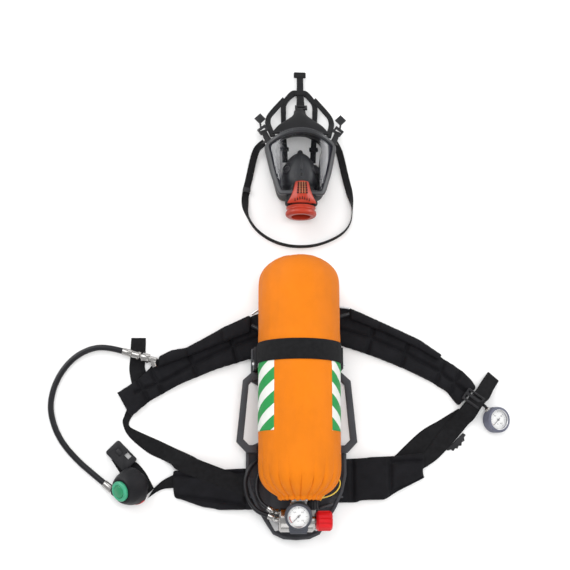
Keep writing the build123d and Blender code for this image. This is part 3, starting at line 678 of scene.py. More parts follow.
# ------------------------------------------------------------------ cylinder cover and band
COVER_PROFILE = [
    (0.0, 0.0838), (0.012, 0.0835), (0.0235, 0.0824), (0.036, 0.0795), (0.0488, 0.0742), (0.0602, 0.0668),
    (0.0690, 0.0580), (0.0752, 0.0482), (0.0787, 0.0380), (0.0800, 0.0275), (0.0804, 0.015), (0.0804, -0.020),
    (0.0804, -0.060), (0.0804, -0.120), (0.0804, -0.180), (0.0804, -0.240), (0.0804, -0.290),
    (0.0804, -0.322),
    (0.0799, -0.335), (0.0786, -0.3455), (0.0762, -0.3543), (0.0722, -0.3625), (0.0665, -0.3698),
    (0.0592, -0.3765), (0.0510, -0.3818), (0.0447, -0.3853), (0.0412, -0.3882), (0.0410, -0.3912),
    (0.0390, -0.3938), (0.0355, -0.3934), (0.0330, -0.3900),
]
PLEATS = 21


def cover_point(angle, distance, line, lift=0.0):
    """A point of the cover's cloth.  angle is 0 at the top, distance is a place on its profile line."""
    index = min(int(distance), len(line) - 2)
    t = distance - index
    base = line[index].lerp(line[index + 1], t)
    along = (line[index + 1] - line[index]).normalized()
    outward_r, outward_y = -along.y, along.x
    radius, y = base.x, base.y
    amount = lift
    folds = noise.noise(Vector((math.cos(angle) * 2.2, math.sin(angle) * 2.2, y * 5.0)))
    amount += 0.0011 * folds * min(radius / 0.05, 1.0)
    crumple = noise.noise(Vector((math.cos(angle) * 5.5 + 9, math.sin(angle) * 5.5, y * 13.0 + 4)))
    amount += 0.0007 * crumple
    pinch = math.exp(-(((y - BAND_Y) / 0.024) ** 4))
    amount = amount * (1 - pinch) + 0.0001 * pinch
    ridge = math.exp(-(((abs(y - BAND_Y) - 0.030) / 0.009) ** 2))
    amount += 0.0009 * ridge * (0.6 + 0.8 * noise.noise(Vector((angle * 3.0, y * 8, 7.0))))
    slot_at = angle / (2 * math.pi) * PLEATS
    slot_at += 0.33 * noise.noise(Vector((math.cos(angle) * 3.1, math.sin(angle) * 3.1, 2.5)))
    which = math.floor(slot_at)
    reach = 0.048 + 0.045 * chance(which)
    strength = min(max((-0.386 + reach + 0.012 - y) / reach, 0.0), 1.0) ** 1.5
    wave = abs(math.sin(math.pi * (slot_at - which)))
    amount += strength * (0.0052 * wave**0.7 - 0.0030)
    side = -0.9 * strength * 0.0016 * math.cos(math.pi * (slot_at - which))
    radius += outward_r * amount
    y += outward_y * amount
    angle += side / max(radius, 0.02)
    return spot(math.sin(angle) * radius, y, CYLINDER_Z + math.cos(angle) * radius)


def build_cover():
    line = smooth_line([Vector((r, y, 0)) for r, y in COVER_PROFILE], 6)
    line = even_steps(line, 0.0032)
    around = 300
    rows = []
    uvs = []
    for index in range(1, len(line)):
        row = []
        for k in range(around):
            angle = 2 * math.pi * k / around
            row.append(cover_point(angle, index - 0.001, line))
            uvs.append((k / around * 2 * math.pi * COVER_R, line[index].y))
        rows.append(row)
    cover = grid("cover", rows, ring=True, uvs=uvs)
    fill_small_hole(cover, rows[0])
    solidify(cover, 0.0007)
    show(cover, "cover_cloth", "pack", ("cylinder_cover",))

    low = next(i for i, p in enumerate(line) if p.y < -0.127)
    high = next(i for i, p in enumerate(line) if p.y < -0.266)
    for name, start, end in (("panel_left", -101, -41), ("panel_right", 46, 106)):
        rows = []
        uvs = []
        for index in range(low, high + 1):
            row = []
            for k in range(49):
                angle = math.radians(start + (end - start) * k / 48)
                row.append(cover_point(angle, index, line, 0.0006))
                uvs.append((abs(angle) * COVER_R, line[index].y))
            rows.append(row)
        panel = grid(name, rows, uvs=uvs)
        solidify(panel, 0.0005)
        show(panel, "panel_cloth", "pack")


def even_steps(line, step):
    """The same line in steps of about one length."""
    made = [line[0]]
    left = step
    for a, b in zip(line, line[1:]):
        run = (b - a).length
        done = 0.0
        while run - done >= left:
            done += left
            made.append(a.lerp(b, done / run))
            left = step
        left -= run - done
    made.append(line[-1])
    return made


def fill_small_hole(obj, row):
    """Close the cover's head with one point in its middle."""
    with edited(obj) as work:
        work.verts.ensure_lookup_table()
        count = len(row)
        rim = [work.verts[k] for k in range(count)]
        middle = work.verts.new(sum(row, Vector()) / count)
        layer = work.loops.layers.uv.active
        for k in range(count):
            face = work.faces.new((rim[k], rim[(k + 1) % count], middle))
            face.smooth = True
            for loop in face.loops:
                loop[layer].uv = (loop.vert.co.x, loop.vert.co.y)
        bmesh.ops.recalc_face_normals(work, faces=work.faces)


def solidify(obj, thickness):
    modified(obj, "SOLIDIFY", thickness=thickness, offset=-1.0, use_even_offset=False)


def ribbon(name, stations, steps=8, across=10, thickness=WEBBING, droop=0.0):
    """Woven strap: (left edge, right edge) stations of its underside, smoothly joined."""
    lefts = smooth_line([Vector(a) for a, b in stations], steps)
    rights = smooth_line([Vector(b) for a, b in stations], steps)
    rows = []
    uvs = []
    run = 0.0
    middle_before = None
    for i, (left, right) in enumerate(zip(lefts, rights)):
        middle = (left + right) / 2
        if middle_before:
            run += (middle - middle_before).length
        middle_before = middle
        j, k = max(i - 1, 0), min(i + 1, len(lefts) - 1)
        tangent = (lefts[k] + rights[k] - lefts[j] - rights[j]).normalized()
        width = right - left
        normal = width.cross(tangent).normalized()
        if normal.z < -0.2:
            normal = -normal
        over = []
        under = []
        for c in range(across + 1):
            t = c / across
            edge = min(t, 1 - t) * width.length
            round_off = thickness * 0.35 * max(0.0, 1 - edge / 0.0012) ** 2
            ripple = droop * math.sin(t * math.pi)
            base = left + width * t
            over.append((base + normal * (thickness - round_off + ripple), t * width.length))
            under.append((base + normal * (round_off + ripple * 0.2), t * width.length))
        loop = over + under[::-1]
        rows.append([p for p, u in loop])
        uvs += [(u, run) for p, u in loop]
    obj = grid(name, rows, ring=True, caps=True, uvs=uvs)
    return crease_normals(obj, 55)


def in_layout(stations):
    return [(spot(*a), spot(*b)) for a, b in stations]


def build_band():
    inner = COVER_R + 0.0006
    path = [(-inner, 0.074), (-inner, 0.088), (-inner, 0.102)]
    path += [(inner * math.sin(math.radians(a)), CYLINDER_Z + inner * math.cos(math.radians(a)))
             for a in range(-86, 87, 6)]
    path += [(inner, 0.102), (inner, 0.088), (inner, 0.074)]
    half = BAND_WIDTH / 2
    stations = in_layout([((x, BAND_Y - half, z), (x, BAND_Y + half, z)) for x, z in path])
    lefts = smooth_line([a for a, b in stations], 4)
    rights = smooth_line([b for a, b in stations], 4)
    rows = []
    uvs = []
    run = 0.0
    for i, (left, right) in enumerate(zip(lefts, rights)):
        if i:
            run += (left - lefts[i - 1]).length
        middle = (left + right) / 2
        hub = Vector((spot(0, 0).x, middle.y, max(min(middle.z, CYLINDER_Z), 0.0)))
        normal = (middle - hub).normalized()
        over = []
        under = []
        for c in range(17):
            t = c / 16
            edge = min(t, 1 - t) * BAND_WIDTH
            round_off = WEBBING * 0.35 * max(0.0, 1 - edge / 0.0012) ** 2
            groove = 0.0004 * math.exp(-(((edge - 0.0042) / 0.0012) ** 2))
            base = left.lerp(right, t)
            over.append((base + normal * (WEBBING - round_off - groove), t * BAND_WIDTH))
            under.append((base + normal * round_off, t * BAND_WIDTH))
        loop = over + under[::-1]
        rows.append([p for p, u in loop])
        uvs += [(u, run) for p, u in loop]
    band = grid("band", rows, ring=True, caps=True, uvs=uvs)
    crease_normals(band, 55)
    show(band, "webbing_cloth", "pack", ("cylinder_band",))


# ------------------------------------------------------------------ padded harness
CLOTH_FRAMES = 20
SEAM_REACH = 0.0042
SEAM_SLOPE = 0.013


def swollen(obj, cap):
    """Blow the cloth of a closed mesh up a little, each point by cap at the most."""
    before = [v.co.copy() for v in obj.data.vertices]
    cloth = obj.modifiers.new("cloth", "CLOTH")
    cloth.settings.use_pressure = True
    cloth.settings.uniform_pressure_force = 4.0
    cloth.settings.effector_weights.gravity = 0.0
    cloth.settings.tension_stiffness = 15
    cloth.settings.compression_stiffness = 15
    cloth.settings.bending_stiffness = 0.5
    cloth.point_cache.frame_start = 1
    cloth.point_cache.frame_end = CLOTH_FRAMES
    for number in range(1, CLOTH_FRAMES + 1):
        bpy.context.scene.frame_set(number)
    graph = bpy.context.evaluated_depsgraph_get()
    after = [v.co.copy() for v in obj.evaluated_get(graph).data.vertices]
    obj.modifiers.clear()
    bpy.context.scene.frame_set(1)
    for vertex, start, end in zip(obj.data.vertices, before, after):
        move = end - start
        if move.length > cap:
            move *= cap / move.length
        vertex.co = start + move


def near_segment(point, a, b):
    """Distance in plan from a point to a straight seam."""
    px, py = point.x - a.x, point.y - a.y
    dx, dy = b.x - a.x, b.y - a.y
    t = min(max((px * dx + py * dy) / (dx * dx + dy * dy), 0), 1)
    return math.hypot(px - dx * t, py - dy * t)


def padded(name, node, seams, floor_z, top_z, cap=0.003, voxel=0.005, groove=0.0060):
    """A stuffed pad from its CAD slab, with its seams sewn down."""
    obj = put(name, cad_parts[node].data.copy())
    modified(obj, "REMESH", mode="VOXEL", voxel_size=voxel)
    modified(obj, "SMOOTH", factor=0.5, iterations=2)
    swollen(obj, cap)
    modified(obj, "SUBSURF", levels=2)
    lines = [(spot(*a), spot(*b)) for a, b in seams]
    height = top_z - floor_z
    for vertex in obj.data.vertices:
        co = vertex.co
        share = min(max((co.z - floor_z) / height, 0.0), 1.0)
        drop = 0.0
        for a, b in lines:
            away = near_segment(co, a, b)
            pit = math.exp(-((away / SEAM_REACH) ** 2))
            slope = math.exp(-((away / SEAM_SLOPE) ** 2))
            drop = max(drop, groove * pit + 0.25 * groove * slope)
        wrinkle = 0.0008 * noise.noise(co * 38.0) + 0.0005 * noise.noise(co * 90.0)
        co.z = min(max(co.z - drop * share**2 + wrinkle * share, floor_z), top_z + 0.002)
    crease_normals(obj, 60)
    show(obj, "pad_cloth", "pack", (node,))
    return obj


LEFT_PAD_SEAMS = [
    ((-0.324, -0.151), (-0.296, -0.201)), ((-0.297, -0.131), (-0.268, -0.184)), ((-0.225, -0.088),
    (-0.200, -0.148)),
    ((-0.142, -0.042), (-0.118, -0.118)), ((-0.324, -0.180), (-0.268, -0.157)), ((-0.268, -0.157),
    (-0.212, -0.124)),
    ((-0.212, -0.124), (-0.130, -0.084)), ((-0.130, -0.084), (-0.070, -0.062)),
]
RIGHT_PAD_SEAMS = [
    ((0.168, -0.026), (0.147, -0.098)), ((0.240, -0.060), (0.217, -0.128)), ((0.312, -0.106),
    (0.289, -0.160)),
    ((0.344, -0.126), (0.318, -0.181)), ((0.070, -0.040), (0.157, -0.064)), ((0.157, -0.064),
    (0.228, -0.094)),
    ((0.228, -0.094), (0.300, -0.134)), ((0.300, -0.134), (0.352, -0.174)),
]
LEFT_WAIST_SEAMS = [((-0.100, -0.327), (-0.100, -0.417)), ((-0.245, -0.348), (-0.100, -0.341)),
                    ((-0.240, -0.385), (-0.100, -0.404))]
RIGHT_WAIST_SEAMS = [((0.192, -0.303), (0.192, -0.392)), ((0.115, -0.308), (0.115, -0.400)),
                     ((0.192, -0.318), (0.262, -0.316)), ((0.192, -0.378), (0.262, -0.346))]


def build_pads():
    padded("shoulder_left", "shoulder_pad_left", LEFT_PAD_SEAMS, 0.0, PAD_TOP)
    padded("shoulder_right", "shoulder_pad_right", RIGHT_PAD_SEAMS, 0.0, PAD_TOP)
    padded("waist_left", "waist_pad_left", LEFT_WAIST_SEAMS, 0.0, PAD_TOP)
    padded("waist_right", "waist_pad_right", RIGHT_WAIST_SEAMS, 0.0, PAD_TOP)
    padded("sleeves", "hose_sleeves", [
        ((-0.225, -0.084), (-0.216, -0.110)), ((-0.152, -0.044), (-0.146, -0.080)),
        ((0.174, -0.027), (0.168, -0.052)), ((0.257, -0.065), (0.249, -0.086)),
    ], 0.015, SLEEVE_TOP, cap=0.002, voxel=0.004, groove=0.003)


# ------------------------------------------------------------------ webbing
def build_webbing():
    straps = (
        ("pull_webbing_left", "pull_strap_left", [
            ((-0.321, -0.214, 0.0012), (-0.338, -0.203, 0.0012)),
            ((-0.334, -0.232, 0.0010), (-0.347, -0.226, 0.0010)),
            ((-0.337, -0.246, 0.0005), (-0.350, -0.242, 0.0005)),
            ((-0.322, -0.256, 0.0002), (-0.337, -0.268, 0.0002)),
            ((-0.274, -0.277, 0.0002), (-0.300, -0.299, 0.0002)),
            ((-0.238, -0.294, 0.003), (-0.270, -0.314, 0.002)),
            ((-0.206, -0.309, 0.013), (-0.250, -0.325, OVER_PAD + 0.001)),
            ((-0.186, -0.318, OVER_PAD), (-0.226, -0.341, OVER_PAD)),
            ((-0.102, -0.349, OVER_PAD), (-0.102, -0.388, OVER_PAD)),
        ]),
        ("pull_webbing_right", "pull_strap_right", [
            ((0.338, -0.208, 0.0002), (0.372, -0.222, 0.0002)),
            ((0.298, -0.232, 0.0002), (0.322, -0.257, 0.0002)),
            ((0.256, -0.257, 0.0002), (0.288, -0.278, 0.0002)),
            ((0.203, -0.306, 0.0002), (0.262, -0.311, 0.0002)),
        ]),
        ("chest_webbing", "chest_strap_left", [
            ((-0.338, -0.067, 0.0), (-0.308, -0.067, 0.0)),
            ((-0.3385, -0.085, 0.0), (-0.308, -0.085, 0.0)),
            ((-0.339, -0.110, 0.0), (-0.308, -0.110, 0.0)),
            ((-0.340, -0.134, 0.0), (-0.308, -0.130, 0.0)),
            ((-0.333, -0.168, 0.0), (-0.300, -0.150, 0.0)),
        ]),
        ("belt_end_left", "belt_webbing_left", [
            ((-0.3700, -0.3150, 0.0), (-0.3390, -0.3215, 0.0)),
            ((-0.362, -0.327, 0.0), (-0.3215, -0.3190, 0.0)),
            ((-0.347, -0.349, 0.0), (-0.303, -0.338, 0.0)),
            ((-0.329, -0.374, 0.0), (-0.291, -0.358, 0.0)),
            ((-0.311, -0.397, 0.0), (-0.284, -0.371, 0.0)),
        ]),
        ("belt_link_left", None, [
            ((-0.284, -0.371, WEBBING), (-0.296, -0.391, WEBBING)),
            ((-0.266, -0.355, WEBBING), (-0.270, -0.374, WEBBING)),
            ((-0.2430, -0.343, WEBBING), (-0.2430, -0.370, WEBBING)),
        ]),
        ("belt_end_right", "belt_webbing_right", [
            ((0.402, -0.132, 0.006), (0.424, -0.151, 0.006)),
            ((0.384, -0.155, 0.013), (0.411, -0.169, 0.012)),
            ((0.372, -0.172, OVER_PAD + 0.001), (0.399, -0.189, 0.019)),
            ((0.353, -0.192, OVER_PAD + 0.0015), (0.384, -0.203, 0.027)),
            ((0.336, -0.212, 0.013), (0.369, -0.228, 0.013)),
            ((0.324, -0.226, 0.005), (0.356, -0.242, 0.005)),
            ((0.296, -0.258, 0.003), (0.326, -0.276, 0.003)),
            ((0.270, -0.292, 0.003), (0.290, -0.312, 0.003)),
            ((0.2560, -0.302, 0.003), (0.2560, -0.334, 0.003)),
        ]),
    )
    for name, node, stations in straps:
        strap = ribbon(name, in_layout(stations))
        show(strap, "webbing_cloth", "pack", (node,) if node else ())


# ------------------------------------------------------------------ mask
FRAME_HALF = [(0.0, 0.364), (0.022, 0.3618), (0.044, 0.3552), (0.062, 0.3462), (0.0715, 0.3395),
              (0.0748, 0.3300),
              (0.0706, 0.3080), (0.0640, 0.2760), (0.0570, 0.2520), (0.0510, 0.2330), (0.0445, 0.2235),
              (0.0330, 0.2215), (0.0, 0.2210)]
SEAL_HALF = [(0.0, 0.360), (0.028, 0.3565), (0.054, 0.347), (0.071, 0.333), (0.067, 0.306), (0.062, 0.279),
             (0.055, 0.252), (0.048, 0.231), (0.038, 0.223), (0.018, 0.222), (0.0, 0.222)]


def closed_outline(half, steps):
    """Both halves of an outline about the mask's centre line, as one smooth closed line."""
    around = [Vector((x, y, 0)) for x, y in half] + [Vector((-x, y, 0)) for x, y in half[-2:0:-1]]
    count = len(around)
    line = smooth_line(around[-3:] + around + around[:3], steps)
    return line[3 * steps:(3 + count) * steps]


def visor_height(x, radius):
    return VISOR_AXIS_Z + math.sqrt(max(radius * radius - x * x, 0.0))


def frame_sweep(inset, section):
    """Rows of a rim along the visor's outline.  section gives (inwards, off the visor) points."""
    outline = closed_outline(FRAME_HALF, 8)
    count = len(outline)
    rows = []
    for i, p in enumerate(outline):
        tangent = (outline[(i + 1) % count] - outline[i - 1]).normalized()
        inward = Vector((tangent.y, -tangent.x, 0))
        row = []
        for across, height in section(p):
            q = p + inward * (inset + across)
            swell = VISOR_R + height
            scale = math.sqrt(max(swell * swell - q.x * q.x, 0.0))
            row.append(spot(MASK_X + q.x, q.y, VISOR_AXIS_Z + scale))
        rows.append(row)
    return rows


def rim_section(width, low, high, soft):
    points = [(0, low), (width, low), (width, high), (0, high)]
    made = []
    for i, point in enumerate(points):
        here, before, after = [Vector(p) for p in (point, points[i - 1], points[(i + 1) % 4])]
        start = here + (before - here).normalized() * soft
        end = here + (after - here).normalized() * soft
        for k in range(4):
            t = k / 3
            p = start * (1 - t) ** 2 + here * 2 * t * (1 - t) + end * t**2
            made.append((p.x, p.y))
    return made


def build_visor():
    def brow_at(p):
        return max(0.0, (p.y - 0.335) / 0.029)

    def rim_at(p):
        brow = brow_at(p)
        return [(a * (1 + 0.25 * brow), h * (1 + (0.55 * brow if h > 0 else 0))) for a, h in rim]

    def bead_at(p):
        return [(a, h * (1 + 0.55 * brow_at(p))) for a, h in bead]

    # The frame, bead and brow ribs use the rubber with a painted highlight, lighter than the face piece.
    rim = rim_section(0.0088, -0.0065, 0.0030, 0.0024)
    rows = frame_sweep(-0.0004, rim_at)
    frame_rim = grid("visor_frame", rows + rows[:1], ring=True)
    crease_normals(frame_rim, 50)
    show(frame_rim, "frame_rubber_painted_highlight", "mask", ("mask_visor_frame",))

    bead = rim_section(0.0016, 0.0030, 0.0042, 0.0005)
    rows = frame_sweep(0.0058, bead_at)
    bead_piece = grid("visor_bead", rows + rows[:1], ring=True)
    show(crease_normals(bead_piece, 50), "frame_rubber_painted_highlight", "mask")

    ribs = []
    for k in range(-9, 10):
        angle = k * 0.075
        x = 0.0755 * math.sin(angle) * 0.93
        y = 0.3605 - 0.0165 * (x / 0.0665) ** 2
        place = spot(MASK_X + x, y, visor_height(x, VISOR_R + 0.0046))
        ribs.append(block_piece(place, (0.0016, 0.0075, 0.0022), -x * 4.0, x / VISOR_R))
    show(crease_normals(joined("brow_ribs", ribs), 50), "frame_rubber_painted_highlight", "mask")

    outline = closed_outline(FRAME_HALF, 6)
    count = len(outline)
    inside = []
    for i, p in enumerate(outline):
        tangent = (outline[(i + 1) % count] - outline[i - 1]).normalized()
        inside.append(p + Vector((tangent.y, -tangent.x, 0)) * 0.0072)
    middle = Vector((0, 0.290, 0))
    rows = []
    for k in range(0, 13):
        share = 1 - k / 12 * 0.995
        rows.append([spot(MASK_X + middle.x + (p.x - middle.x) * share, middle.y + (p.y - middle.y) * share,
                          visor_height((p.x - middle.x) * share, VISOR_R)) for p in inside])
    visor = grid("visor", rows, ring=True)
    solidify(visor, 0.0022)
    crease_normals(visor, 60)
    show(visor, "visor_clear", "mask", ("mask_visor",))


def block_piece(centre, size, turn=0.0, lean=0.0, soft=0.0005):
    """A small block with softened edges, turned about Z and leaned about Y."""
    work = bmesh.new()
    bmesh.ops.create_cube(work, size=1.0)
    for vertex in work.verts:
        vertex.co = Vector((vertex.co.x * size[0], vertex.co.y * size[1], vertex.co.z * size[2]))
    bmesh.ops.bevel(work, geom=work.edges[:], offset=min(soft, min(size) * 0.35), segments=2, affect="EDGES")
    mesh = bpy.data.meshes.new("block")
    work.to_mesh(mesh)
    work.free()
    mesh.transform(Matrix.Translation(centre) @ Matrix.Rotation(turn, 4, "Z") @ Matrix.Rotation(lean, 4, "Y"))
    return put("block", mesh)


def build_face_piece():
    outline = closed_outline(SEAL_HALF, 8)
    # share of the width, lowest y, highest y, height (None follows the visor)
    levels = [(1.0, 0.222, 0.360, None), (1.0, 0.222, 0.3615, 0.052), (0.985, 0.223, 0.367, 0.034),
              (0.955, 0.2255, 0.374, 0.017), (0.905, 0.230, 0.380, 0.0075), (0.84, 0.234, 0.382, 0.0045),
              (0.73, 0.240, 0.380, 0.0045), (0.665, 0.243, 0.3765, 0.0065), (0.66, 0.2435, 0.3755, 0.0085),
              (0.73, 0.2405, 0.3755, 0.0105), (0.835, 0.2355, 0.3752, 0.0125), (0.905, 0.231, 0.3715, 0.022),
              (0.93, 0.229, 0.364, 0.036), (0.945, 0.2275, 0.3585, 0.052), (0.95, 0.227, 0.3575, None)]
    base = min(y for x, y in SEAL_HALF)
    reach = max(y for x, y in SEAL_HALF) - base
    rows = []
    for share, low, high, height in levels:
        row = []
        for p in outline:
            x = p.x * share
            y = low + (p.y - base) / reach * (high - low)
            top = visor_height(x, VISOR_R - 0.0064)
            z = top if height is None else min(height, top)
            row.append(spot(MASK_X + x, y, z))
        rows.append(row)
    skirt = grid("face_piece", rows + rows[:1], ring=True)
    modified(skirt, "SUBSURF", levels=1)
    crease_normals(skirt, 70)
    show(skirt, "mask_rubber", "mask", ("mask_face_piece",))

    tab = ribbon("forehead_tab", in_layout([
        ((-0.052, 0.3615, 0.058), (0.068, 0.3615, 0.058)),
        ((-0.047, 0.370, 0.057), (0.063, 0.370, 0.057)),
        ((-0.037, 0.382, 0.0535), (0.053, 0.382, 0.0535)),
        ((-0.022, 0.394, 0.048), (0.038, 0.394, 0.048)),
        ((-0.010, 0.404, 0.042), (0.026, 0.404, 0.042)),
        ((-0.005, 0.413, 0.035), (0.022, 0.413, 0.035)),
        ((-0.004, 0.421, 0.029), (0.021, 0.421, 0.029)),
    ]), across=18, thickness=0.005, droop=0.006)
    show(tab, "mask_rubber", "mask", ("mask_forehead_tab",))


def cup_level(half_width, low_y, high_y, height, count=48):
    """An egg-shaped ring of the nose cup."""
    row = []
    middle_y = (low_y + high_y) / 2
    for k in range(count):
        angle = 2 * math.pi * k / count
        narrow = 1 - 0.28 * (0.5 + 0.5 * math.sin(angle))
        row.append(spot(MASK_X + half_width * narrow * math.cos(angle),
                        middle_y + (high_y - low_y) / 2 * math.sin(angle), height))
    return row


def build_nose_cup():
    levels = [(0.045, 0.232, 0.330, 0.014), (0.0448, 0.232, 0.3285, 0.030), (0.0432, 0.232, 0.3255, 0.044),
              (0.0398, 0.233, 0.3205, 0.058), (0.0345, 0.2345, 0.313, 0.070), (0.0275, 0.237, 0.303, 0.078),
              (0.0205, 0.2405, 0.2925, 0.0822), (0.010, 0.252, 0.280, 0.0834), (0.001, 0.264, 0.268, 0.0835)]
    cup = grid("nose_cup", [cup_level(*level) for level in levels], ring=True)
    solidify(cup, 0.002)
    modified(cup, "SUBSURF", levels=1)
    crease_normals(cup, 70)
    show(cup, "nose_rubber", "mask", ("mask_nose_cup",))
    valves = []
    for side in (-1, 1):
        place = spot(MASK_X + side * 0.0300, 0.281, 0.0690)
        valves.append(turned("valve", [
            (0, 0.003), (0.0045, 0.003), (0.0055, 0.0018), (0.0082, 0.0018), (0.0088, 0.003),
            (0.0098, 0.003), (0.0104, 0.0), (0.0104, -0.004), (0, -0.004),
        ], place, (side * 0.72, 0.16, 0.67), 0.0004, 32))
    show(crease_normals(joined("cup_valves", valves), 50), "black_plastic", "mask")
    ridge = tube("cup_ridge", smooth_line([spot(MASK_X, y, z) for y, z in (
        (0.325, 0.030), (0.3255, 0.046), (0.318, 0.060), (0.306, 0.072), (0.292, 0.0805),
        (0.276, 0.0832))], 5),
        [0.0062 - 0.0036 * k / 25 for k in range(26)], sides=16)
    show(crease_normals(ridge, 60), "nose_rubber", "mask")


def build_port():
    hub = spot(MASK_X, 0.180, PORT_Z)
    ring = turned("port_ring", [
        (0.0200, 0.0), (0.0278, 0.0), (0.0290, 0.0010), (0.0312, 0.0022), (0.0320, 0.0042), (0.0320, 0.0078),
        (0.0312, 0.0104), (0.0292, 0.0124), (0.0288, 0.0150), (0.0302, 0.0172), (0.0308, 0.0200),
        (0.0200, 0.0200),
    ], hub, (0, 1, 0), 0.0008, 64)
    show(ring, "mask_red", "mask", ("mask_port_ring",))
    rows = []
    for y, half_low, low, half_high, high in (
        (0.2475, 0.0125, 0.0925, 0.0085, 0.0978), (0.245, 0.0140, 0.0925, 0.0108, 0.1000),
        (0.238, 0.0158, 0.0930, 0.0120, 0.1026),
        (0.229, 0.0180, 0.0935, 0.0134, 0.1034), (0.220, 0.0212, 0.0935, 0.0152, 0.1030),
        (0.211, 0.0252, 0.0930, 0.0186, 0.1016),
        (0.205, 0.0285, 0.0915, 0.0216, 0.0992), (0.2022, 0.0298, 0.0900, 0.0236, 0.0965),
    ):
        row = []
        for k in range(21):
            t = -1 + k / 10
            bulge = 1 - abs(t) ** 3.2
            if abs(t) > 0.85:
                x = half_low * t
            else:
                x = half_high * t / 0.85 * (0.85 + 0.15 * (half_low / half_high - 1) * abs(t))
            row.append(spot(MASK_X + x, y, low + (high - low) * bulge))
        rows.append(row + [spot(MASK_X + half_low * t, y, low - 0.003) for t in (1, 0.5, 0, -0.5, -1)])
    cover = grid("port_cover", rows, ring=True, caps=True)
    crease_normals(cover, 45)
    show(cover, "mask_red", "mask", ("mask_port_cover",))

    # Dark blocks where the cover's slots open: painted shade standing for the insides of the holes.
    slots = []
    for row_number in range(5):
        y = 0.2415 - 0.0052 * row_number
        for column in range(4):
            x = (column - 1.5) * (0.0050 + 0.0003 * row_number)
            z = 0.1017 if row_number == 0 else 0.1030
            slots.append(block_piece(spot(MASK_X + x, y, z), (0.0036, 0.0036, 0.0022)))
    for column in range(7):
        x = (column - 3) * 0.0048
        y = 0.2105 - 0.0008 * abs(column - 3) ** 1.3
        z = 0.1010 - 0.00045 * (column - 3) ** 2
        slots.append(block_piece(spot(MASK_X + x, y, z), (0.0021, 0.0066, 0.0026), 0, x * 14))
    show(crease_normals(joined("cover_slot_shade", slots), 50), "slot_painted_shade", "mask")
    bars = []
    for column in range(3):
        place = spot(MASK_X + (column - 1.0) * 0.0050, 0.2312, 0.1034)
        bars.append(block_piece(place, (0.0011, 0.0240, 0.0026), soft=0.0003))
    show(crease_normals(joined("cover_bars", bars), 50), "slot_edge", "mask")

    flanks = []
    for side in (-1, 1):
        rows = []
        for y, foot, wide, shoulder, top in (
            (0.2005, 0.030, 0.0325, 0.0300, 0.0200), (0.207, 0.031, 0.0340, 0.0300, 0.0185),
            (0.218, 0.029, 0.0310, 0.0265, 0.0160), (0.232, 0.026, 0.0275, 0.0225, 0.0130),
            (0.246, 0.022, 0.0235, 0.0190, 0.0110),
        ):
            section = ((foot, 0.060), (wide, 0.066), (wide + 0.001, 0.078),
                       (shoulder, 0.0905), (top, 0.0925), (top, 0.060))
            rows.append([spot(MASK_X + side * x, y, z) for x, z in section])
        flanks.append(grid("flank", rows, ring=True, caps=True))
    refined("port_body", "mask_port_body", 0.0014, "mask_rubber", "mask")
    wings = joined("port_wings", flanks)
    modified(wings, "SUBSURF", levels=2)
    show(crease_normals(wings, 60), "mask_rubber", "mask")


# Straps on each side of the mask: name, thickness, and (inner edge, outer edge) stations.
SIDE_STRAPS = (
    ("lug", 0.0035, [
        ((0.070, 0.345, 0.066), (0.079, 0.335, 0.061)), ((0.076, 0.358, 0.057), (0.086, 0.351, 0.053)),
        ((0.082, 0.373, 0.0475), (0.093, 0.370, 0.0465)),
    ]),
    ("strap_tab", 0.0030, [
        ((0.069, 0.347, 0.062), (0.077, 0.339, 0.058)), ((0.073, 0.354, 0.046), (0.083, 0.345, 0.044)),
        ((0.078, 0.3585, 0.030), (0.090, 0.3475, 0.030)),
    ]),
    ("arm", 0.003, [
        ((0.0375, 0.432, 0.010), (0.049, 0.432, 0.010)),
        ((0.0375, 0.418, 0.0075), (0.0485, 0.418, 0.0075)),
        ((0.0375, 0.404, 0.004), (0.048, 0.404, 0.004)), ((0.037, 0.388, 0.001), (0.048, 0.388, 0.001)),
        ((0.036, 0.372, 0.0003), (0.0475, 0.372, 0.0003)),
        ((0.034, 0.345, 0.0003), (0.046, 0.345, 0.0003)),
        ((0.033, 0.318, 0.0003), (0.045, 0.318, 0.0003)),
    ]),
    ("temple", 0.0022, [
        ((0.037, 0.4530, 0.0125), (0.045, 0.4620, 0.0125)),
        ((0.049, 0.4395, 0.0135), (0.057, 0.4475, 0.0135)),
        ((0.061, 0.4245, 0.0145), (0.0695, 0.4325, 0.0145)),
        ((0.0695, 0.4125, 0.017), (0.0795, 0.4170, 0.017)),
        ((0.0715, 0.4000, 0.022), (0.0835, 0.4005, 0.022)),
        ((0.0695, 0.3870, 0.031), (0.0815, 0.3855, 0.031)),
        ((0.066, 0.3750, 0.040), (0.077, 0.3710, 0.040)),
        ((0.062, 0.3590, 0.051), (0.073, 0.3560, 0.051)),
    ]),
)


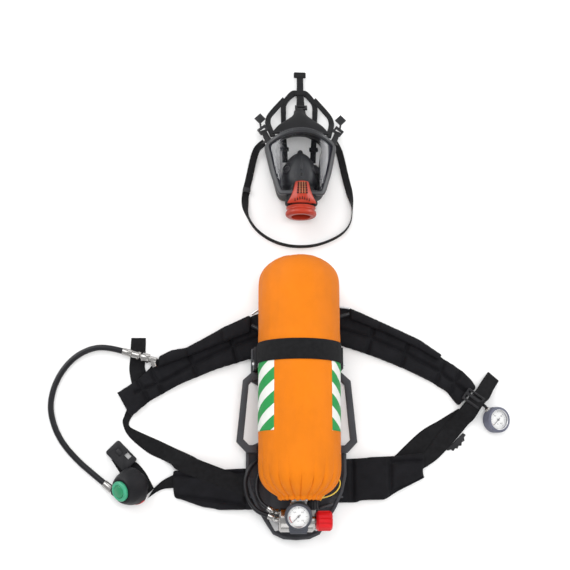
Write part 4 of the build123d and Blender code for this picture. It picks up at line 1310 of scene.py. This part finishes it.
def build_head_harness():
    def across(side, x, y, z):
        return spot(MASK_X + 0.001 + side * (x - MASK_X - 0.001), y, z)

    pieces = []
    for side in (-1, 1):
        for name, thickness, stations in SIDE_STRAPS:
            edges = [(across(side, *a), across(side, *b)) for a, b in stations]
            pieces.append(ribbon(name, edges, 5, 8, thickness))
        pieces.append(block_piece(across(side, 0.0405, 0.347, 0.0042), (0.019, 0.0095, 0.0042), soft=0.0010))
    pieces.append(ribbon("cross", in_layout([((-0.016, 0.3182, 0.0002), (-0.016, 0.302, 0.0002)),
                                             ((0.034, 0.3182, 0.0002),
                                             (0.034, 0.302, 0.0002))]), 4, 8, 0.003))
    pieces.append(ribbon("lead", in_layout([
        ((0.0035, 0.471, 0.0138), (0.0185, 0.471, 0.0138)), ((0.0035, 0.460, 0.0125),
        (0.0190, 0.460, 0.0125)),
        ((0.003, 0.4478, 0.0115), (0.020, 0.4478, 0.0115)), ((0.0025, 0.438, 0.0155),
        (0.0205, 0.438, 0.0155)),
        ((0.002, 0.428, 0.022), (0.021, 0.428, 0.022)), ((0.002, 0.4183, 0.030),
        (0.021, 0.4183, 0.030))]), 4, 8, 0.0032))
    crown = [((-0.031, 0.430, 0.010), (-0.0195, 0.430, 0.010)), ((-0.0300, 0.447, 0.010),
             (-0.0185, 0.444, 0.010)),
             ((-0.0225, 0.461, 0.010), (-0.0120, 0.4545, 0.010)), ((-0.0075, 0.4775, 0.010),
             (-0.001, 0.4650, 0.010)),
             ((0.009, 0.4785, 0.010), (0.009, 0.4655, 0.010))]
    crown += [((0.018 - a[0], *a[1:]), (0.018 - b[0], *b[1:])) for a, b in crown[-2::-1]]
    pieces.append(ribbon("crown", in_layout(crown), 6, 12, 0.0035))
    pieces.append(ribbon("tongue", in_layout([
        ((0.0030, 0.468, 0.0136), (0.0175, 0.468, 0.0136)), ((0.0033, 0.476, 0.0132),
        (0.0178, 0.476, 0.0132)), ((0.0040, 0.490, 0.010), (0.0180, 0.490, 0.010)),
        ((0.0040, 0.512, 0.010), (0.0180, 0.512, 0.010))]), 5, 8, 0.0032))
    pieces.append(block_piece(spot(0.0105, 0.5145, 0.0118), (0.026, 0.013, 0.0042), soft=0.0012))
    pieces.append(block_piece(spot(0.0107, 0.4705, 0.0165), (0.023, 0.0100, 0.0042), soft=0.0012))
    harness = joined("head_harness", pieces)
    show(crease_normals(harness, 50), "mask_rubber", "mask", ("mask_head_harness",))


# ------------------------------------------------------------------ gauges
CHEST_DIAL = (0.416, -0.233, 0.032)
CHEST_WAY = (0.34, -0.05, 0.94)
# A dial's zero mark, and how far round its scale goes, in degrees.
DIAL_ZERO = 135
DIAL_SWEEP = 270


def ring_patch(name, inner, outer, start, end, to_frame, height, steps=40):
    """Part of a flat ring on a dial, angles in degrees clockwise from the zero mark."""
    rows = []
    for k in range(steps + 1):
        angle = math.radians(DIAL_ZERO - (start + (end - start) * k / steps))
        way = Vector((-math.sin(angle), math.cos(angle), 0))
        rows.append([to_frame(way * r + Vector((0, 0, height))) for r in (inner, outer)])
    return grid(name, rows)


def dress_gauge(prefix, centre, axis, x_dir, body, depth, look):
    """Rubber case, marks and figures on one pressure gauge."""
    z_dir = Vector(axis).normalized()
    x_axis = (Vector(x_dir) - z_dir * Vector(x_dir).dot(z_dir)).normalized()
    y_axis = z_dir.cross(x_axis)
    origin = spot(*centre)

    def to_frame(p):
        return origin + x_axis * p.x + y_axis * p.y + z_dir * p.z

    case = turned(prefix + "_boot", [
        (0.0206, -0.0010), (0.0206, 0.0), (0.0222, 0.0004), (0.0248, 0.0), (0.0258, -0.0016),
        (0.0262, -0.0050),
        (0.0262, -0.0075), (0.0256, -0.0083), (0.0256, -0.0092), (0.0262, -0.0100),
        (0.0262, -(depth - 0.003)),
        (0.0250, -(depth - 0.0002)), (0.0150, -depth), (0.0150, -0.0072), (0.0206, -0.0070),
    ], origin, z_dir, 0.0005, 72)
    show(case, look, body, (prefix + "_case",))
    bezel = turned(prefix + "_bezel", [
        (0.0192, -0.0008), (0.0192, -0.0016), (0.0209, -0.0016), (0.0209, 0.0002), (0.0200, 0.0002),
    ], origin, z_dir, 0.0002, 72)
    show(bezel, "steel", body)

    marks = []
    for k in range(31):
        angle = math.radians(DIAL_ZERO - DIAL_SWEEP * k / 30)
        long = k % 5 == 0
        inner = 0.0140 if long else 0.0158
        way = Vector((-math.sin(angle), math.cos(angle), 0))
        side = Vector((way.y, -way.x, 0)) * (0.00038 if long else 0.00020)
        low = Vector((0, 0, -0.00592))
        high = Vector((0, 0, -0.00582))
        corners = [way * inner - side, way * inner + side, way * 0.0180 + side, way * 0.0180 - side]
        points = [to_frame(c + low) for c in corners] + [to_frame(c + high) for c in corners]
        marks.append(mesh_object("mark", points, [
            (0, 3, 2, 1), (4, 5, 6, 7), (0, 1, 5, 4), (1, 2, 6, 5), (2, 3, 7, 6),
            (3, 0, 4, 7)], smooth=False))
    turn = Matrix((x_axis, y_axis, z_dir)).transposed().to_4x4()
    for k in range(4):
        angle = math.radians(DIAL_ZERO - 90 * k)
        way = Vector((-math.sin(angle), math.cos(angle), 0))
        marks.append(figure(str(k * 100), to_frame(way * 0.0108 + Vector((0, 0, -0.00588))), turn, 0.0038))
    marks.append(figure("bar", to_frame(Vector((0, -0.0085, -0.00588))), turn, 0.0034))
    show(joined(prefix + "_marks", marks), "dial_ink", body)
    zone = ring_patch(prefix + "_zone", 0.0158, 0.0180, 0, 45, to_frame, -0.00584)
    solidify(zone, 0.00006)
    show(zone, "red_plastic", body)
    return to_frame


def figure(text, place, turn, size):
    """A generic number or unit on a dial, as a thin mesh."""
    data = bpy.data.curves.new("figure", "FONT")
    data.body = text
    data.size = size
    data.align_x = "CENTER"
    data.align_y = "CENTER"
    data.extrude = 0.00004
    obj = put("figure", data)
    mesh = evaluated_mesh(obj)
    bpy.data.objects.remove(obj)
    mesh.transform(Matrix.Translation(place) @ turn)
    return put("figure", mesh)


def build_gauges():
    to_frame = dress_gauge("cylinder_gauge", (-0.004, -0.427, 0.135), (-0.06, -0.20, 0.98), (1, 0, 0.06),
                           "pack", 0.018, "gauge_rubber")
    tail = grid("gauge_tail", [
        [to_frame(Vector((x, y, z))) for x, z in (
            (-w, -0.004 - d), (-w + 0.001, -0.0025 - d), (w - 0.001, -0.0025 - d), (w, -0.004 - d),
            (w, -0.0150),
            (w - 0.001, -0.0162), (-w + 0.001, -0.0162), (-w, -0.0150))]
        for y, w, d in ((-0.0185, 0.0185, 0.0), (-0.026, 0.0182, 0.0004), (-0.0305, 0.0165, 0.0012),
        (-0.0332, 0.0150, 0.0030),
                        (-0.0338, 0.0140, 0.0060))
    ], ring=True, caps=True)
    crease_normals(tail, 50)
    show(tail, "gauge_rubber", "pack")
    stem_way = Vector((-0.62, 0.78, 0.2657)).normalized()
    core = spot(*CHEST_DIAL) - Vector(CHEST_WAY).normalized() * 0.017
    stem = turned("chest_stem", [
        (0, 0.022), (0.0062, 0.022), (0.0062, 0.0255), (0.0050, 0.0262), (0.0050, 0.0302), (0, 0.0302),
    ], core, stem_way, 0.0004, 24)
    show(stem, "nickel", "chest_gauge")
    dress_gauge("chest_gauge", CHEST_DIAL, CHEST_WAY, (0.94, 0, -0.34), "chest_gauge", 0.024, "boot_rubber")


# ------------------------------------------------------------------ demand valve
def build_demand_valve():
    centre = spot(-0.327, -0.369, 0.038)
    axis = Vector((-0.65, -0.31, 0.69)).normalized()
    profile = [
        (0.0206, 0.0272), (0.0234, 0.0276), (0.0262, 0.0256), (0.0292, 0.0208), (0.0318, 0.0152),
        (0.0340, 0.0090), (0.0356, 0.0020), (0.0366, -0.0030), (0.0370, -0.0050), (0.0370, -0.0088),
        (0.0362, -0.0098),
    ]
    outer = [(p.x, p.y) for p in smooth_line([Vector((r, s, 0)) for r, s in profile], 4)]
    inner = [(r - 0.0012, s - 0.0006) for r, s in outer[::-1]]
    dome = lathe("valve_dome", outer + inner, centre, axis, 96)
    side, up = cross_frame(axis, Vector((0, 0, 1)))
    for vertex in dome.data.vertices:
        away = vertex.co - centre
        along = away.dot(axis)
        flat = away - axis * along
        angle = math.atan2(flat.dot(up), flat.dot(side))
        ribs = max(0.0, math.cos(18 * angle)) ** 4
        share = math.exp(-(((along + 0.0065) / 0.0035) ** 2))
        swirl = math.exp(-(((along - 0.012) / 0.006) ** 2)) * math.cos(6 * angle + along * 260) * 0.00035
        vertex.co -= flat.normalized() * (0.0009 * ribs * share + swirl)
    crease_normals(dome, 50)
    show(dome, "valve_black", "demand_valve")

    rows = []
    for k in range(17):
        angle = math.radians(-118 + 46 * k / 16)
        way = side * math.cos(angle) + up * math.sin(angle)
        section = ((0.0366, -0.0030), (0.0370, -0.0055), (0.0369, -0.0086))
        rows.append([centre + way * (r + 0.0006) + axis * s for r, s in section])
    mark = grid("valve_mark", rows)
    solidify(mark, 0.0008)
    show(mark, "red_plastic", "demand_valve")

    rim = turned("button_rim", [
        (0.0132, 0.0335), (0.0150, 0.0346), (0.0178, 0.0343), (0.0186, 0.0325), (0.0132, 0.0325),
    ], centre, axis, 0.0004, 64)
    show(rim, "green_ring", "demand_valve")


# ------------------------------------------------------------------ CAD shapes kept, with softened edges
REFINED = (
    # material, body, slot, then each node with its edge radius
    ("carrier_plastic", "pack", "carrier_plastic", (
        ("backplate", 0.0011), ("side_handle_left", 0.0030), ("side_handle_right", 0.0030),
        ("reducer_bracket", 0.0008),
    )),
    ("steel", "pack", "steel", (("shoulder_bar", 0.0002), ("band_pins", 0.0008))),
    ("black_plastic", "pack", "black_plastic", (
        ("band_brackets", 0.0012), ("strap_adjuster", 0.0009), ("waist_buckle", 0.0016),
        ("buckle_tongue", 0.0006),
    )),
    ("nickel", "pack", "nickel", (
        ("cylinder_valve", 0.0010), ("pressure_reducer", 0.0010), ("hose_fittings", 0.0005),
        ("coupling_plug", 0.0006), ("coupling_socket", 0.0006),
    )),
    ("steel", "valve_wheel", "steel", (("valve_spindle", 0.0003),)),
    ("red_plastic", "valve_wheel", "red_plastic", (("valve_handwheel", 0.0008),)),
    ("black_plastic", "connector_wheel", "black_plastic", (("reducer_connector", 0.0006),)),
    ("hose_rubber", "pack", "hose_rubber", (("supply_hose", 0.0002), ("gauge_hose", 0.0002))),
    ("black_plastic", "buckle_button", "black_plastic", (("buckle_release", 0.0008),)),
    ("nickel", "coupling_collar", "nickel", (("coupling_sleeve", 0.0006),)),
    ("valve_black", "demand_valve", "valve_black", (("demand_valve_body", 0.0009),)),
    ("green_ring", "demand_valve", "green_plastic", (("demand_valve_ring", 0.0006),)),
    ("green_plastic", "bypass_button", "green_plastic", (("demand_valve_button", 0.0006),)),
    ("black_plastic", "mask", "black_plastic", (("mask_buckles", 0.0006),)),
    ("dial_white", "pack", "dial_face", (("cylinder_gauge_dial", 0.0002),)),
    ("dial_white", "chest_gauge", "dial_face", (("chest_gauge_dial", 0.0002),)),
    ("dial_ink", "cylinder_pointer", "needle", (("cylinder_gauge_needle", 0.0001),)),
    ("dial_ink", "chest_pointer", "needle", (("chest_gauge_needle", 0.0001),)),
    ("clear_lens", "pack", "lens", (("cylinder_gauge_lens", 0.0002),)),
    ("clear_lens", "chest_gauge", "lens", (("chest_gauge_lens", 0.0002),)),
)


def build_refined():
    for look, body, slot, nodes in REFINED:
        for node, edge in nodes:
            refined(node + "_look", node, edge, look, body)
    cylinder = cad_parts["cylinder"]
    cylinder.data.materials.clear()
    cylinder.data.materials.append(shade("cylinder_paint"))


build_stage()
build_cords()
build_cover()
build_band()
build_pads()
build_webbing()
build_visor()
build_face_piece()
build_nose_cup()
build_port()
build_head_harness()
build_gauges()
build_demand_valve()
build_refined()
